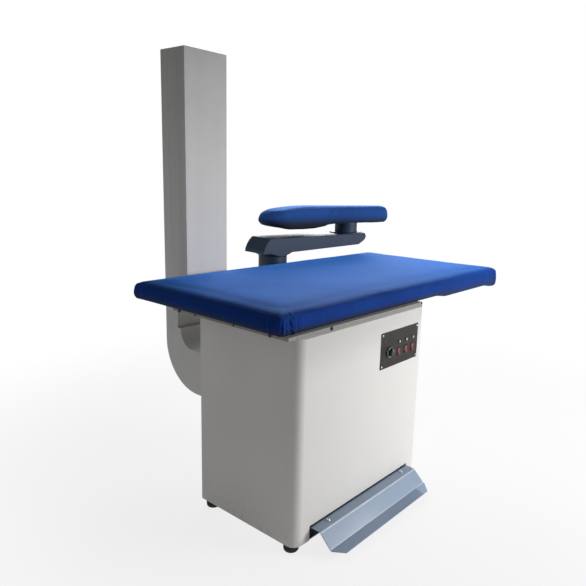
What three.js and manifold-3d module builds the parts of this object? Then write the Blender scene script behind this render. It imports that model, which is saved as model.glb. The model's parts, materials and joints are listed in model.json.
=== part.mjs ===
// A vacuum ironing table: a sheet-metal cabinet with a suction blower, a padded table that reaches
// past it, a swing arm with a small buck, an exhaust chimney and a foot pedal that opens the air flap.
// Millimetres. +X is the operator's right, +Y the back, +Z up; the corner where the cabinet's front
// and left side would meet on the floor is the origin until the last lines centre the whole.

import * as THREE from 'three';
import { mergeVertices } from 'three/addons/utils/BufferGeometryUtils.js';
import Module from 'manifold-3d';

const wasm = await Module();
wasm.setup();

// Shared fits and sheet
const gap = 0.3;
const turningPlay = 0.6;
const overrun = 6;
const sheet = 2;
const platework = 3;
const weldStep = 0.0001;

// Cabinet
const cabinetWidth = 760;
const cabinetDepth = 480;
const cabinetBottom = 30;
const cabinetTop = 750;
const cabinetCorner = 36;
const cabinetReturn = 20;
const notchClearance = 5;
const notchHeight = 54;
const panelGlandBore = 10;
const louvreLength = 120;
const louvreHeight = 9;
const louvrePitch = 26;
const louvreCount = 7;
const louvreFromRight = 70;
const louvreFromFloor = 150;

// Feet
const footRadius = 27;
const footBase = 20;
const footCheek = 25;
const footCheekHeight = 7;
const footShoulder = 15;
const footStud = 8;
const footStudRise = 16;
const footSideInset = 31;
const footFrontInset = 43;
const footBackInset = 31;

// Frame on the cabinet that carries the table
const frameThickness = 12;
const frameBar = 40;
const frameLeftReach = 30;
const frameRightReach = 5;
const frameFrontInset = 18;
const frameBackReach = 120;

// Table
const tableLength = 1546;
const tableDepth = 796;
const tableTop = 836;
const tableLeftReach = 46;
const tableFrontInset = 37;
const tableCorner = 26;
const tableEdgeRound = 34;
const tableSideDrawIn = 3;
const hemSag = 12;
const hemSagMargin = 8;
const hemSagLength = 105;
const trayInset = 9;
const trayHeight = 48;
const plateThickness = 2.5;
const padInset = 10;
const padThickness = 9;
const plateHoleRadius = 7;
const plateHoleColumns = 14;
const plateHoleRows = 6;
const plateHoleMargin = 110;
const supportWidth = 30;
const supportStart = 50;
const heaterRadius = 5;
const heaterRuns = 4;
const heaterMargin = 110;

// Suction line under the table
const funnelTopSide = 280;
const ductSide = 200;
const flangeWidth = 18;
const flangeThickness = 3;
const damperHeight = 128;
const damperAxisDrop = 40;
const damperShaftRadius = 6;
const damperHubRadius = 10;
const damperEdgeGap = 1;
const crankLength = 18;
const crankDropAngle = 26;
const crankThickness = 6;

// Blower
const scrollStartRadius = 145;
const scrollEndRadius = 208;
const scrollHeight = 190;
const scrollBottom = 305;
const inletRadius = 90;
const inletCollarHeight = 15;
const inletCollarWall = 3;
const impellerRadius = 125;
const impellerHeight = 128;
const impellerLift = 8;
const impellerHub = 25;
const impellerDisc = 3;
const bladeCount = 14;
const bladeThickness = 3;
const bladeLength = 33;
const bladeAngle = 40;
const motorRadius = 85;
const motorHeight = 150;
const motorFlange = 100;
const motorFlangeThickness = 6;
const shaftRadius = 10;
const shaftInMotor = 60;
const shaftAboveHub = 6;
const standReach = 130;
const standDepth = 150;
const standFoot = 30;

// Exhaust duct and chimney
const ductWidth = 216;
const ductFlangeLip = 20;
const ductFlangeThickness = 4;
const elbowOuterRadius = 212;
const elbowThroatRadius = 78;
const elbowTopDepth = 105;
const elbowTop = 578;
const elbowFlangeY = 725;
const riserDepth = 85;
const chimneyBack = 1002;
const chimneyDepth = 157;
const chimneySeamDepth = 66;
const chimneyTop = 1734;
const supportPlate = 6;
const supportMargin = 20;
const supportSkirt = 30;

// Swing arm
const columnX = 807;
const columnBehindTable = 92;
const columnRadius = 71.5;
const columnHeight = 87;
const columnFlange = 84;
const columnFlangeThickness = 6;
const bushWall = 2.9;
const bushFlange = 3;
const bushDepth = 59;
const spigotWall = 4;
const bracketWidth = 190;
const bracketHeight = 60;
const bracketReachUnder = 134;
const bracketReachBehind = 176;
const bracketPort = 50;
const bracketPortMargin = 15;
const bracketPortDepth = 80;
const armAngle = -5.26;
const armReach = 534;
const armWidth = 150;
const armDepth = 91.2;
const armRootDrop = 73;
const armTipDrop = 60;
const armWall = 2.5;
const armRootReach = 118;
const armNose = 137;
const armHubFlareTop = 30;

// Buck on the arm
const postRadius = 62.5;
const postWall = 3;
const postFlange = 92;
const postFlangeThickness = 6;
const postHeight = 41.5;
const postSpigotRadius = 59;
const postSpigotRise = 35;
const buckTurn = -6.74;
const buckAbovePost = 15;
const buckHeight = 94;
const buckLongReach = 460;
const buckShortReach = 235;
const buckWideRadius = 100;
const buckNarrowRadius = 60;
const buckSag = 22;
const buckSagStart = 130;
const buckSagEnd = 290;
const buckSagBack = 0.8;
const buckNoseDrop = 34;
const buckNoseStart = 255;
const buckTrayDropShare = 0.5;
const buckEdgeRound = 34;
const buckShellInset = 13;
const buckTrayHeight = 46;
const buckPadThickness = 30;

// Control panel
const controlFromRight = 54;
const controlBottom = 548;
const controlPastRocker = 35;
const controlHeight = 141;
const controlThickness = 2;
const controlMargin = 11;
const knobFromLeft = 59;
const knobZ = 608;
const knobSkirt = 22;
const knobGrip = 14;
const knobSkirtDepth = 4;
const knobDepth = 18;
const knobShaft = 3;
const knobPointer = 3;
const thermostatRadius = 20;
const thermostatDepth = 30;
const rockerFromLeft = 124;
const rockerPitch = 49;
const rockerZ = 597;
const rockerWidth = 18;
const rockerHeight = 25;
const rockerTilt = 8;
const rockerPocket = 14;
const rockerBezel = 2.2;
const rockerProud = 4;
const switchBarDepth = 22;
const lampZ = 637;
const lampRadius = 5;
const lampBezel = 8;
const lampBezelThickness = 2;
const lampDome = 4;
const lampDepth = 16;
const switchCount = 3;
const boxDepth = 90;
const boxWall = 1.5;
const boxMargin = 7;

// Pedal and its linkage
const pedalWidth = 600;
const pedalThickness = 2.5;
const pedalBackGap = 1;
const pedalFlangeDepth = 40;
const pedalTop = 78;
const pedalFoldForward = 90;
const pedalFoldHeight = 32;
const pedalLipForward = 132;
const pedalLipHeight = 24.5;
const pedalChamfer = 42;
const leverFromEnd = 73;
const leverPastDuct = 77;
const leverThickness = 16;
const leverHeight = 18;
const leverReach = 38;
const leverBoss = 17.5;
const pedalShaftY = 60;
const pedalShaftZ = 58;
const pedalShaftRadius = 8;
const lugThickness = 6;
const lugWidth = 36;
const lugRise = 18;
const rearArmLength = 180;
const rearArmEnd = 13;
const rearArmDrop = 9;
const pinRadius = 4;
const rodThickness = 6;
const rodWidth = 12;
const rodEye = 10;
const rodSlotPlay = 5;
const rodSideGap = 2;
const springRadius = 9;
const springWire = 2.2;
const springTurns = 5;
const springForward = 38;

// Counts that set how finely round pieces are faceted
const roundSides = 32;
const smallSides = 16;
const arcSteps = 10;
const noseSteps = 16;
const scrollSteps = 30;
const cornerSteps = 5;
const sideSteps = 6;
const tableSideSteps = 12;
const heaterSides = 8;
const springStepsPerTurn = 12;
const springSides = 6;

// Finishes
const offWhite = { color: '#d6d4d1', roughness: 0.5, metalness: 0.1 };
const lightGrey = { color: '#bcbab8', roughness: 0.5, metalness: 0.15 };
const ductGrey = { color: '#c0bfbd', roughness: 0.5, metalness: 0.15 };
const slateBlue = { color: '#404d66', roughness: 0.35, metalness: 0.3 };
const pedalBlue = { color: '#788ca8', roughness: 0.4, metalness: 0.3 };
const royalBlue = { color: '#2f55a8', roughness: 0.85, metalness: 0 };
const feltWhite = { color: '#dcdad2', roughness: 0.95, metalness: 0 };
const blackRubber = { color: '#161616', roughness: 0.8, metalness: 0 };
const blackPlastic = { color: '#1d1c1b', roughness: 0.4, metalness: 0 };
const panelBlack = { color: '#2c2826', roughness: 0.35, metalness: 0.1 };
const redPlastic = { color: '#b5201c', roughness: 0.3, metalness: 0 };
const lampPlastic = { color: '#e8e2da', roughness: 0.2, metalness: 0 };
const zincSteel = { color: '#a9acae', roughness: 0.35, metalness: 0.9 };
const brightSteel = { color: '#c9cbcc', roughness: 0.25, metalness: 1 };
const darkPlastic = { color: '#212426', roughness: 0.5, metalness: 0 };
const castGrey = { color: '#54585b', roughness: 0.6, metalness: 0.6 };

// A closed geometry as a solid that can be cut and joined
function solid(geometry) {
  geometry.deleteAttribute('normal');
  geometry.deleteAttribute('uv');
  const merged = mergeVertices(geometry, weldStep);
  return new wasm.Manifold(new wasm.Mesh({
    numProp: 3,
    vertProperties: new Float32Array(merged.attributes.position.array),
    triVerts: new Uint32Array(merged.index.array),
  }));
}

function join(first, ...others) {
  return others.reduce((whole, other) => whole.add(other), first);
}

function cut(first, ...others) {
  return others.reduce((whole, other) => whole.subtract(other), first);
}

function geometryOf(shape) {
  const { vertProperties, triVerts } = shape.getMesh();
  const geometry = new THREE.BufferGeometry();
  geometry.setAttribute('position', new THREE.BufferAttribute(vertProperties, 3));
  geometry.setIndex(new THREE.BufferAttribute(triVerts, 1));
  geometry.computeVertexNormals();
  return geometry;
}

function piece(parent, name, shape, finish) {
  const mesh = new THREE.Mesh(geometryOf(shape), new THREE.MeshStandardMaterial(finish));
  mesh.name = name;
  parent.add(mesh);
  return mesh;
}

function box([x0, x1], [y0, y1], [z0, z1]) {
  const geometry = new THREE.BoxGeometry(x1 - x0, y1 - y0, z1 - z0);
  geometry.translate((x0 + x1) / 2, (y0 + y1) / 2, (z0 + z1) / 2);
  return solid(geometry);
}

// A round bar along an axis; u and v are its centre on the other two axes, in X, Y, Z order
function bar(axis, radius, [from, to], u, v, sides = roundSides) {
  const geometry = new THREE.CylinderGeometry(radius, radius, to - from, sides);
  const middle = (from + to) / 2;
  if (axis === 'x') {
    geometry.rotateZ(-Math.PI / 2);
    geometry.translate(middle, u, v);
  } else if (axis === 'y') {
    geometry.translate(u, middle, v);
  } else {
    geometry.rotateX(Math.PI / 2);
    geometry.translate(u, v, middle);
  }
  return solid(geometry);
}

function pipe(axis, outer, inner, [from, to], u, v, sides = roundSides) {
  return cut(
    bar(axis, outer, [from, to], u, v, sides),
    bar(axis, inner, [from - overrun, to + overrun], u, v, sides),
  );
}

// An outline pushed along an axis: (x, y) along z, (y, z) along x, or (x, z) along y
function prism(outline, axis, [from, to]) {
  const settings = { depth: to - from, bevelEnabled: false, curveSegments: arcSteps };
  const geometry = new THREE.ExtrudeGeometry(outline, settings);
  const right = new THREE.Vector3(1, 0, 0);
  const back = new THREE.Vector3(0, 1, 0);
  const up = new THREE.Vector3(0, 0, 1);
  if (axis === 'x') {
    geometry.applyMatrix4(new THREE.Matrix4().makeBasis(back, up, right));
    geometry.translate(from, 0, 0);
  } else if (axis === 'y') {
    geometry.applyMatrix4(new THREE.Matrix4().makeBasis(right, up, back.negate()));
    geometry.translate(0, to, 0);
  } else {
    geometry.translate(0, 0, from);
  }
  return solid(geometry);
}

function polygon(points) {
  return new THREE.Shape(points.map(([u, v]) => new THREE.Vector2(u, v)));
}

// A closed body through rings of points that all have the same count, the lowest ring first
function loft(rings) {
  const count = rings[0].length;
  const positions = rings.flat(2);
  const middle = (ring) => [0, 1, 2].map((axis) => (
    ring.reduce((sum, point) => sum + point[axis], 0) / count));
  positions.push(...middle(rings[0]), ...middle(rings[rings.length - 1]));
  const bottom = rings.length * count;
  const top = bottom + 1;
  const last = bottom - count;
  const faces = [];
  for (let i = 0; i < count; i += 1) {
    const j = (i + 1) % count;
    faces.push(bottom, j, i, top, last + i, last + j);
    for (let row = 0; row < last; row += count) {
      faces.push(row + i, row + j, row + count + j, row + i, row + count + j, row + count + i);
    }
  }
  const geometry = new THREE.BufferGeometry();
  geometry.setAttribute('position', new THREE.Float32BufferAttribute(positions, 3));
  geometry.setIndex(faces);
  return solid(geometry);
}

const turned = (angle) => THREE.MathUtils.degToRad(angle);
const machine = new THREE.Group();

// Heights and places that follow from the driving sizes
const floorTop = cabinetBottom + sheet;
const tableBottom = cabinetTop + frameThickness;
const tableLeft = -tableLeftReach;
const tableRight = tableLeft + tableLength;
const tableFront = tableFrontInset;
const tableBack = tableFront + tableDepth;
const trayTop = tableBottom + trayHeight;
const plateTop = trayTop + plateThickness;
const padTop = plateTop + padThickness;
const scrollTop = scrollBottom + scrollHeight;
const scrollFloor = scrollBottom - sheet;
const scrollRoof = scrollTop + sheet;
// The exhaust leaves the cabinet at this share of its width
const ductLeft = (cabinetWidth * 11) / 38;
const fanX = ductLeft + sheet + scrollEndRadius;
const rodPinY = pedalShaftY + rearArmLength;
const fanY = rodPinY - crankLength * Math.cos(turned(crankDropAngle));
const ductRight = ductLeft + ductWidth;
const ductBottom = scrollFloor;
const ductTop = scrollRoof;
const ductTouch = cabinetDepth - sheet - overrun;
const damperBottom = scrollRoof + inletCollarHeight;
const damperTop = damperBottom + damperHeight;
const damperAxis = damperTop - damperAxisDrop;
const halfDuct = ductSide / 2;
const leverRightX = fanX + halfDuct + leverPastDuct;
const pedalRight = leverRightX + leverFromEnd;
const pedalLeft = pedalRight - pedalWidth;
const leverLeftX = pedalLeft + leverFromEnd;
const controlWidth = rockerFromLeft + (switchCount - 1) * rockerPitch + controlPastRocker;
const controlLeft = cabinetWidth - controlFromRight - controlWidth;
const knobX = controlLeft + knobFromLeft;
const rockerX = controlLeft + rockerFromLeft;
const hemSagStart = columnX + bracketWidth / 2 + hemSagMargin;
const hemSagEnd = hemSagStart + hemSagLength;
const rodNear = leverRightX + leverThickness / 2 + rodSideGap;
const rodFar = rodNear + rodThickness;
const pinEnd = rodFar + rodSideGap + pinRadius;

// Cabinet shell: one wrapped sheet with rounded front corners and edges turned in at top and back
function cabinetPlan(inset) {
  const radius = cabinetCorner - inset;
  const right = cabinetWidth - inset;
  const back = cabinetDepth - inset;
  const plan = new THREE.Shape();
  plan.moveTo(inset, back);
  plan.lineTo(inset, inset + radius);
  plan.absarc(inset + radius, inset + radius, radius, Math.PI, 1.5 * Math.PI);
  plan.lineTo(right - radius, inset);
  plan.absarc(right - radius, inset + radius, radius, 1.5 * Math.PI, 2 * Math.PI);
  plan.lineTo(right, back);
  plan.closePath();
  return plan;
}

const insideX = [cabinetReturn, cabinetWidth - cabinetReturn];
const controlOpeningX = [controlLeft + controlMargin, controlLeft + controlWidth - boxMargin];
const controlOpeningZ = [controlBottom + controlMargin, controlBottom + controlHeight - controlMargin];
const notchTop = cabinetBottom + notchHeight;
piece(machine, 'cabinet_shell', cut(
  prism(cabinetPlan(0), 'z', [cabinetBottom, cabinetTop]),
  prism(cabinetPlan(sheet), 'z', [cabinetBottom - overrun, cabinetTop - sheet]),
  box(insideX, [cabinetReturn, cabinetDepth - cabinetReturn],
    [cabinetTop - cabinetReturn, cabinetTop + overrun]),
  box(insideX, [cabinetDepth - overrun, cabinetDepth + overrun],
    [cabinetBottom - overrun, cabinetTop - cabinetReturn]),
  box([pedalLeft - notchClearance, pedalRight + notchClearance], [-overrun, sheet + overrun],
    [cabinetBottom - overrun, notchTop]),
  box(controlOpeningX, [-overrun, sheet + overrun], controlOpeningZ),
), offWhite);

// Back panel with the duct hole, air slots and the mains gland's hole
const panelOuter = cabinetDepth - sheet;
const panelInner = panelOuter - sheet;
const panelTop = cabinetTop - sheet - gap;
const panelHoleY = [panelInner - overrun, panelOuter + overrun];
const glandX = cabinetWidth - louvreFromRight - louvreLength / 2;
const glandZ = floorTop + louvreFromRight;
const louvreRight = cabinetWidth - louvreFromRight;
const louvres = Array.from({ length: louvreCount }, (_, i) => {
  const bottom = louvreFromFloor + i * louvrePitch;
  return box([louvreRight - louvreLength, louvreRight], panelHoleY, [bottom, bottom + louvreHeight]);
});
piece(machine, 'back_panel', cut(
  box([sheet + gap, cabinetWidth - sheet - gap], [panelInner, panelOuter], [floorTop + gap, panelTop]),
  box([ductLeft - gap, ductRight + gap], panelHoleY, [ductBottom - gap, ductTop + gap]),
  bar('y', panelGlandBore + gap, panelHoleY, glandX, glandZ, smallSides),
  ...louvres,
), lightGrey);

// Base plate with two lugs that carry the pedal shaft
const lugLeftX = leverLeftX - leverThickness / 2 - rodSideGap - lugThickness - pedalShaftRadius;
const lugRightX = pinEnd + rodSideGap;
const lugY = [pedalShaftY - lugWidth / 2, pedalShaftY + lugWidth / 2];
const lug = (x) => box([x, x + lugThickness], lugY, [cabinetBottom, pedalShaftZ + lugRise]);
const footPlaces = [
  ['foot_front_left', footSideInset, footFrontInset],
  ['foot_front_right', cabinetWidth - footSideInset, footFrontInset],
  ['foot_rear_left', footSideInset, cabinetDepth - footBackInset],
  ['foot_rear_right', cabinetWidth - footSideInset, cabinetDepth - footBackInset],
];
const basePlan = cabinetPlan(sheet + gap);
piece(machine, 'base_plate', cut(
  join(prism(basePlan, 'z', [cabinetBottom, floorTop]), lug(lugLeftX), lug(lugRightX)),
  bar('x', pedalShaftRadius + gap, [lugLeftX - overrun, lugRightX + lugThickness + overrun],
    pedalShaftY, pedalShaftZ),
  ...footPlaces.map(([, x, y]) => (
    bar('z', footStud + gap, [cabinetBottom - overrun, floorTop + overrun], x, y, smallSides))),
), zincSteel);

// Rubber feet on studs
footPlaces.forEach(([name, x, y]) => {
  const profile = [[0, 0], [footBase, 0], [footCheek, footCheekHeight], [footRadius, footShoulder],
    [footRadius, cabinetBottom], [footStud, cabinetBottom], [footStud, cabinetBottom + footStudRise],
    [0, cabinetBottom + footStudRise]];
  const pad = new THREE.LatheGeometry(profile.map(([u, v]) => new THREE.Vector2(u, v)), smallSides);
  pad.rotateX(Math.PI / 2);
  pad.translate(x, y, 0);
  piece(machine, name, solid(pad), blackRubber);
});

// Frame bars on the cabinet top
const frameZ = [cabinetTop, tableBottom];
const frameLeft = -frameLeftReach;
const frameRight = cabinetWidth + frameRightReach;
const frameBack = cabinetDepth + frameBackReach;
const frameY = [frameFrontInset, frameBack];
const frameInnerX = [frameLeft + frameBar, frameRight - frameBar];
piece(machine, 'frame_bar_left', box([frameLeft, frameLeft + frameBar], frameY, frameZ), lightGrey);
piece(machine, 'frame_bar_right', box([frameRight - frameBar, frameRight], frameY, frameZ), lightGrey);
const frontBarY = [frameFrontInset, frameFrontInset + frameBar];
piece(machine, 'frame_bar_front', box(frameInnerX, frontBarY, frameZ), lightGrey);
piece(machine, 'frame_bar_rear', box(frameInnerX, [frameBack - frameBar, frameBack], frameZ), lightGrey);

// Table tray: the suction box under the padding, with its port to the funnel and to the arm's bracket
const trayLeft = tableLeft + trayInset;
const trayRight = tableRight - trayInset;
const trayFront = tableFront + trayInset;
const trayBack = tableBack - trayInset;
const columnY = tableBack + columnBehindTable;
const halfFunnel = funnelTopSide / 2;
const portX = [columnX - bracketPort, columnX + bracketPort];
const portFront = trayBack - bracketReachUnder + bracketPortMargin;
const portY = [portFront, portFront + bracketPortDepth];
piece(machine, 'table_tray', cut(
  box([trayLeft, trayRight], [trayFront, trayBack], [tableBottom, trayTop]),
  box([trayLeft + sheet, trayRight - sheet], [trayFront + sheet, trayBack - sheet],
    [tableBottom + sheet, trayTop + overrun]),
  box([fanX - halfFunnel, fanX + halfFunnel], [fanY - halfFunnel, fanY + halfFunnel],
    [tableBottom - overrun, tableBottom + overrun]),
  box(portX, portY, [tableBottom - overrun, tableBottom + overrun]),
), zincSteel);

// Channel down the middle of the tray that holds the perforated plate up
const supportY = (trayFront + trayBack) / 2;
piece(machine, 'plate_support', cut(
  box([trayLeft + supportStart, trayRight - sheet - gap],
    [supportY - supportWidth / 2, supportY + supportWidth / 2],
    [tableBottom + sheet, trayTop]),
  box([trayLeft + supportStart - overrun, trayRight + overrun],
    [supportY - supportWidth / 2 + platework, supportY + supportWidth / 2 - platework],
    [tableBottom - overrun, trayTop - platework]),
), zincSteel);

// Heating element: one sheathed tube in straight runs joined by half-round bends
const heaterZ = trayTop - heaterRadius - gap;
const heaterFirst = trayFront + heaterMargin;
const heaterSpacing = (trayBack - trayFront - 2 * heaterMargin) / (heaterRuns - 1);
const heaterBend = heaterSpacing / 2;
const heaterX = [trayLeft + heaterMargin, trayRight - heaterMargin];
const heaterPath = new THREE.CurvePath();
for (let run = 0; run < heaterRuns; run += 1) {
  const y = heaterFirst + run * heaterSpacing;
  const [from, to] = run % 2 ? [heaterX[1], heaterX[0]] : heaterX;
  heaterPath.add(new THREE.LineCurve3(
    new THREE.Vector3(from, y, heaterZ), new THREE.Vector3(to, y, heaterZ)));
  if (run < heaterRuns - 1) {
    const side = run % 2 ? -1 : 1;
    const bend = Array.from({ length: arcSteps + 1 }, (_, i) => {
      const angle = Math.PI * (i / arcSteps - 0.5);
      return new THREE.Vector3(
        to + side * heaterBend * Math.cos(angle), y + heaterBend * (1 + Math.sin(angle)), heaterZ);
    });
    for (let i = 0; i < arcSteps; i += 1) {
      heaterPath.add(new THREE.LineCurve3(bend[i], bend[i + 1]));
    }
  }
}

// The points of a path's corners, so that a tube along it has a ring only where the path turns
function pathCorners(path) {
  return [path.curves[0].v1, ...path.curves.map((line) => line.v2)];
}

function tube(points, radius, sides) {
  const rings = points.map((point, i) => {
    const before = points[Math.max(i - 1, 0)];
    const after = points[Math.min(i + 1, points.length - 1)];
    const along = after.clone().sub(before).normalize();
    const across = new THREE.Vector3(0, 0, 1).cross(along).normalize();
    const over = along.clone().cross(across);
    return Array.from({ length: sides }, (_, k) => {
      const angle = (2 * Math.PI * k) / sides;
      return point.clone()
        .addScaledVector(across, radius * Math.cos(angle))
        .addScaledVector(over, radius * Math.sin(angle))
        .toArray();
    });
  });
  return loft(rings);
}
piece(machine, 'heating_element', tube(pathCorners(heaterPath), heaterRadius, heaterSides), brightSteel);

// Perforated plate
const holeStep = (from, to, count, i) => from + ((to - from) * i) / (count - 1);
const plateHoles = [];
for (let column = 0; column < plateHoleColumns; column += 1) {
  for (let row = 0; row < plateHoleRows; row += 1) {
    const x = holeStep(trayLeft + plateHoleMargin, trayRight - plateHoleMargin, plateHoleColumns, column);
    const y = holeStep(trayFront + plateHoleMargin, trayBack - plateHoleMargin, plateHoleRows, row);
    plateHoles.push(bar('z', plateHoleRadius, [trayTop - overrun, plateTop + overrun], x, y, springSides));
  }
}
piece(machine, 'perforated_plate', cut(
  box([trayLeft, trayRight], [trayFront, trayBack], [trayTop, plateTop]),
  ...plateHoles,
), zincSteel);

// Foam pad and the fabric cover over it
const padX = [trayLeft + padInset, trayRight - padInset];
const padY = [trayFront + padInset, trayBack - padInset];
piece(machine, 'table_pad', box(padX, padY, [plateTop, padTop]), feltWhite);

// One ring of a cushion: a rounded rectangle whose sides draw in between the corners
function cushionRing([x0, x1], [y0, y1], corner, drawIn, heightAt) {
  const corners = [[x1 - corner, y0 + corner], [x1 - corner, y1 - corner], [x0 + corner, y1 - corner],
    [x0 + corner, y0 + corner]];
  return corners.flatMap(([x, y], quarter) => {
    const start = (quarter - 1) * (Math.PI / 2);
    const arc = Array.from({ length: cornerSteps + 1 }, (_, i) => {
      const angle = start + (i / cornerSteps) * (Math.PI / 2);
      return [x + corner * Math.cos(angle), y + corner * Math.sin(angle)];
    });
    const [nextX, nextY] = corners[(quarter + 1) % corners.length];
    const normal = start + Math.PI / 2;
    const side = Array.from({ length: tableSideSteps }, (_, i) => {
      const share = (i + 1) / (tableSideSteps + 1);
      const out = corner - drawIn * Math.sin(Math.PI * share);
      return [
        x + (nextX - x) * share + out * Math.cos(normal), y + (nextY - y) * share + out * Math.sin(normal)];
    });
    return [...arc, ...side].map(([u, v]) => [u, v, heightAt(u)]);
  });
}

// How a soft edge runs from hem to crown: its inset over the edge's roundness, its height over the whole
const cushionShares = [[0.14, 0], [0.05, 0.1], [0, 0.3], [0, 0.48], [0.07, 0.66], [0.25, 0.82], [0.6, 0.92],
  [1.3, 0.97], [3, 0.99], [6, 1]];
const tableRings = cushionShares.map(([insetShare, heightShare]) => {
  const inset = insetShare * tableEdgeRound;
  const corner = Math.max(tableCorner - inset, tableCorner / cornerSteps);
  const drawIn = tableSideDrawIn * (1 - heightShare);
  const heightAt = (x) => {
    const hem = tableBottom - hemSag * THREE.MathUtils.smoothstep(x, hemSagStart, hemSagEnd);
    return hem + heightShare * (tableTop - hem);
  };
  return cushionRing([tableLeft + inset, tableRight - inset], [tableFront + inset, tableBack - inset],
    corner, drawIn, heightAt);
});
piece(machine, 'table_cover', cut(
  loft(tableRings),
  box([trayLeft - gap, trayRight + gap], [trayFront - gap, trayBack + gap],
    [tableBottom - hemSag - overrun, plateTop + gap]),
  box([tableLeft - overrun, hemSagStart], [tableFront - overrun, tableBack + overrun],
    [tableBottom - hemSag - overrun, tableBottom]),
  box([padX[0] - gap, padX[1] + gap], [padY[0] - gap, padY[1] + gap], [trayTop, padTop + gap]),
), royalBlue);

// Funnel from the tray to the flap housing
function squareRing(half, z) {
  return [[fanX - half, fanY - half, z], [fanX + half, fanY - half, z], [fanX + half, fanY + half, z],
    [fanX - half, fanY + half, z]];
}
function squareBox(half, range) {
  return box([fanX - half, fanX + half], [fanY - half, fanY + half], range);
}
const funnelTop = tableBottom - flangeThickness;
const innerDuct = halfDuct - sheet;
piece(machine, 'suction_funnel', cut(
  join(
    loft([squareRing(halfDuct, damperTop), squareRing(halfFunnel + sheet, funnelTop)]),
    squareBox(halfFunnel + flangeWidth, [funnelTop, tableBottom]),
    squareBox(halfDuct + flangeWidth, [damperTop, damperTop + flangeThickness]),
  ),
  loft([squareRing(innerDuct, damperTop), squareRing(halfFunnel, funnelTop)]),
  squareBox(halfFunnel, [funnelTop - weldStep, tableBottom + overrun]),
  squareBox(innerDuct, [damperTop - overrun, damperTop + weldStep]),
), zincSteel);

// Flap housing with its shaft, crank and flap
piece(machine, 'damper_housing', cut(
  join(
    squareBox(halfDuct, [damperBottom, damperTop]),
    squareBox(halfDuct + flangeWidth, [damperTop - flangeThickness, damperTop]),
    squareBox(halfDuct + flangeWidth, [damperBottom, damperBottom + flangeThickness]),
  ),
  squareBox(innerDuct, [damperBottom - overrun, damperTop + overrun]),
  bar('x', damperShaftRadius + gap, [fanX - halfDuct - overrun, fanX + halfDuct + overrun],
    fanY, damperAxis, smallSides),
), zincSteel);
const crankX = [rodNear - rodSideGap - crankThickness, rodNear - rodSideGap];
const crankPinZ = damperAxis - crankLength * Math.sin(turned(crankDropAngle));
const crankOutline = [
  bar('x', damperHubRadius, crankX, fanY, damperAxis, smallSides),
  bar('x', damperHubRadius - sheet, crankX, rodPinY, crankPinZ, smallSides),
];
piece(machine, 'damper_shaft', join(
  bar('x', damperShaftRadius, [fanX - halfDuct - damperHubRadius, crankX[1]], fanY, damperAxis, smallSides),
  wasm.Manifold.hull(crankOutline),
  bar('x', pinRadius, [crankX[0], pinEnd], rodPinY, crankPinZ, smallSides),
), brightSteel);
const flapHalf = innerDuct - damperEdgeGap;
const flapX = [fanX - flapHalf, fanX + flapHalf];
piece(machine, 'damper_flap', cut(
  join(
    box(flapX, [fanY - flapHalf, fanY + flapHalf],
      [damperAxis - flangeThickness / 2, damperAxis + flangeThickness / 2]),
    bar('x', damperHubRadius, flapX, fanY, damperAxis, smallSides),
  ),
  bar('x', damperShaftRadius + gap, [flapX[0] - overrun, flapX[1] + overrun], fanY, damperAxis, smallSides),
), zincSteel);

// Blower housing: a spiral that widens towards the outlet, with an inlet collar on top
function scrollPlan(inset, outlet) {
  const plan = new THREE.Shape();
  const start = scrollStartRadius - inset;
  const end = scrollEndRadius - inset;
  const tongueX = ductRight - sheet - inset;
  const points = Array.from({ length: scrollSteps + 1 }, (_, i) => {
    const share = i / scrollSteps;
    const angle = Math.PI * (0.5 - 1.5 * share);
    const radius = start + (end - start) * share;
    return [fanX + radius * Math.cos(angle), fanY + radius * Math.sin(angle)];
  });
  const outline = [[tongueX, fanY + start], ...points.slice(1), [fanX - end, outlet], [tongueX, outlet]];
  outline.reverse().forEach(([x, y], i) => (i ? plan.lineTo(x, y) : plan.moveTo(x, y)));
  plan.closePath();
  return plan;
}
piece(machine, 'blower_housing', cut(
  join(
    prism(scrollPlan(-sheet, ductTouch), 'z', [scrollFloor, scrollRoof]),
    bar('z', inletRadius + inletCollarWall, [scrollTop, damperBottom], fanX, fanY),
    squareBox(halfDuct + flangeWidth, [damperBottom - flangeThickness, damperBottom]),
  ),
  prism(scrollPlan(0, ductTouch + overrun), 'z', [scrollBottom, scrollTop]),
  bar('z', inletRadius, [scrollTop - overrun, damperBottom + overrun], fanX, fanY),
  bar('z', shaftRadius + platework, [scrollFloor - overrun, scrollBottom + overrun], fanX, fanY, smallSides),
), zincSteel);

// Fan wheel: back disc, hub, curved-back blades and the inlet ring
const discBottom = scrollBottom + impellerLift;
const discTop = discBottom + impellerDisc;
const ringZ = [discBottom + impellerHeight - impellerDisc, discBottom + impellerHeight];
const bladeCentre = impellerRadius - bladeLength / 2;
const blades = Array.from({ length: bladeCount }, (_, i) => {
  const blade = new THREE.BoxGeometry(bladeLength, bladeThickness, ringZ[1] - discBottom);
  blade.rotateZ(turned(bladeAngle));
  blade.translate(bladeCentre - bladeThickness, 0, (discBottom + ringZ[1]) / 2);
  blade.rotateZ((2 * Math.PI * i) / bladeCount);
  blade.translate(fanX, fanY, 0);
  return solid(blade);
});
piece(machine, 'fan_impeller', cut(
  join(
    bar('z', impellerRadius, [discBottom, discTop], fanX, fanY),
    pipe('z', impellerRadius, inletRadius, ringZ, fanX, fanY),
    bar('z', impellerHub, [discBottom, discBottom + shaftInMotor], fanX, fanY, smallSides),
    ...blades,
  ),
  bar('z', shaftRadius + gap, [discBottom - overrun, discBottom + shaftInMotor + overrun],
    fanX, fanY, smallSides),
), zincSteel);

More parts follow.
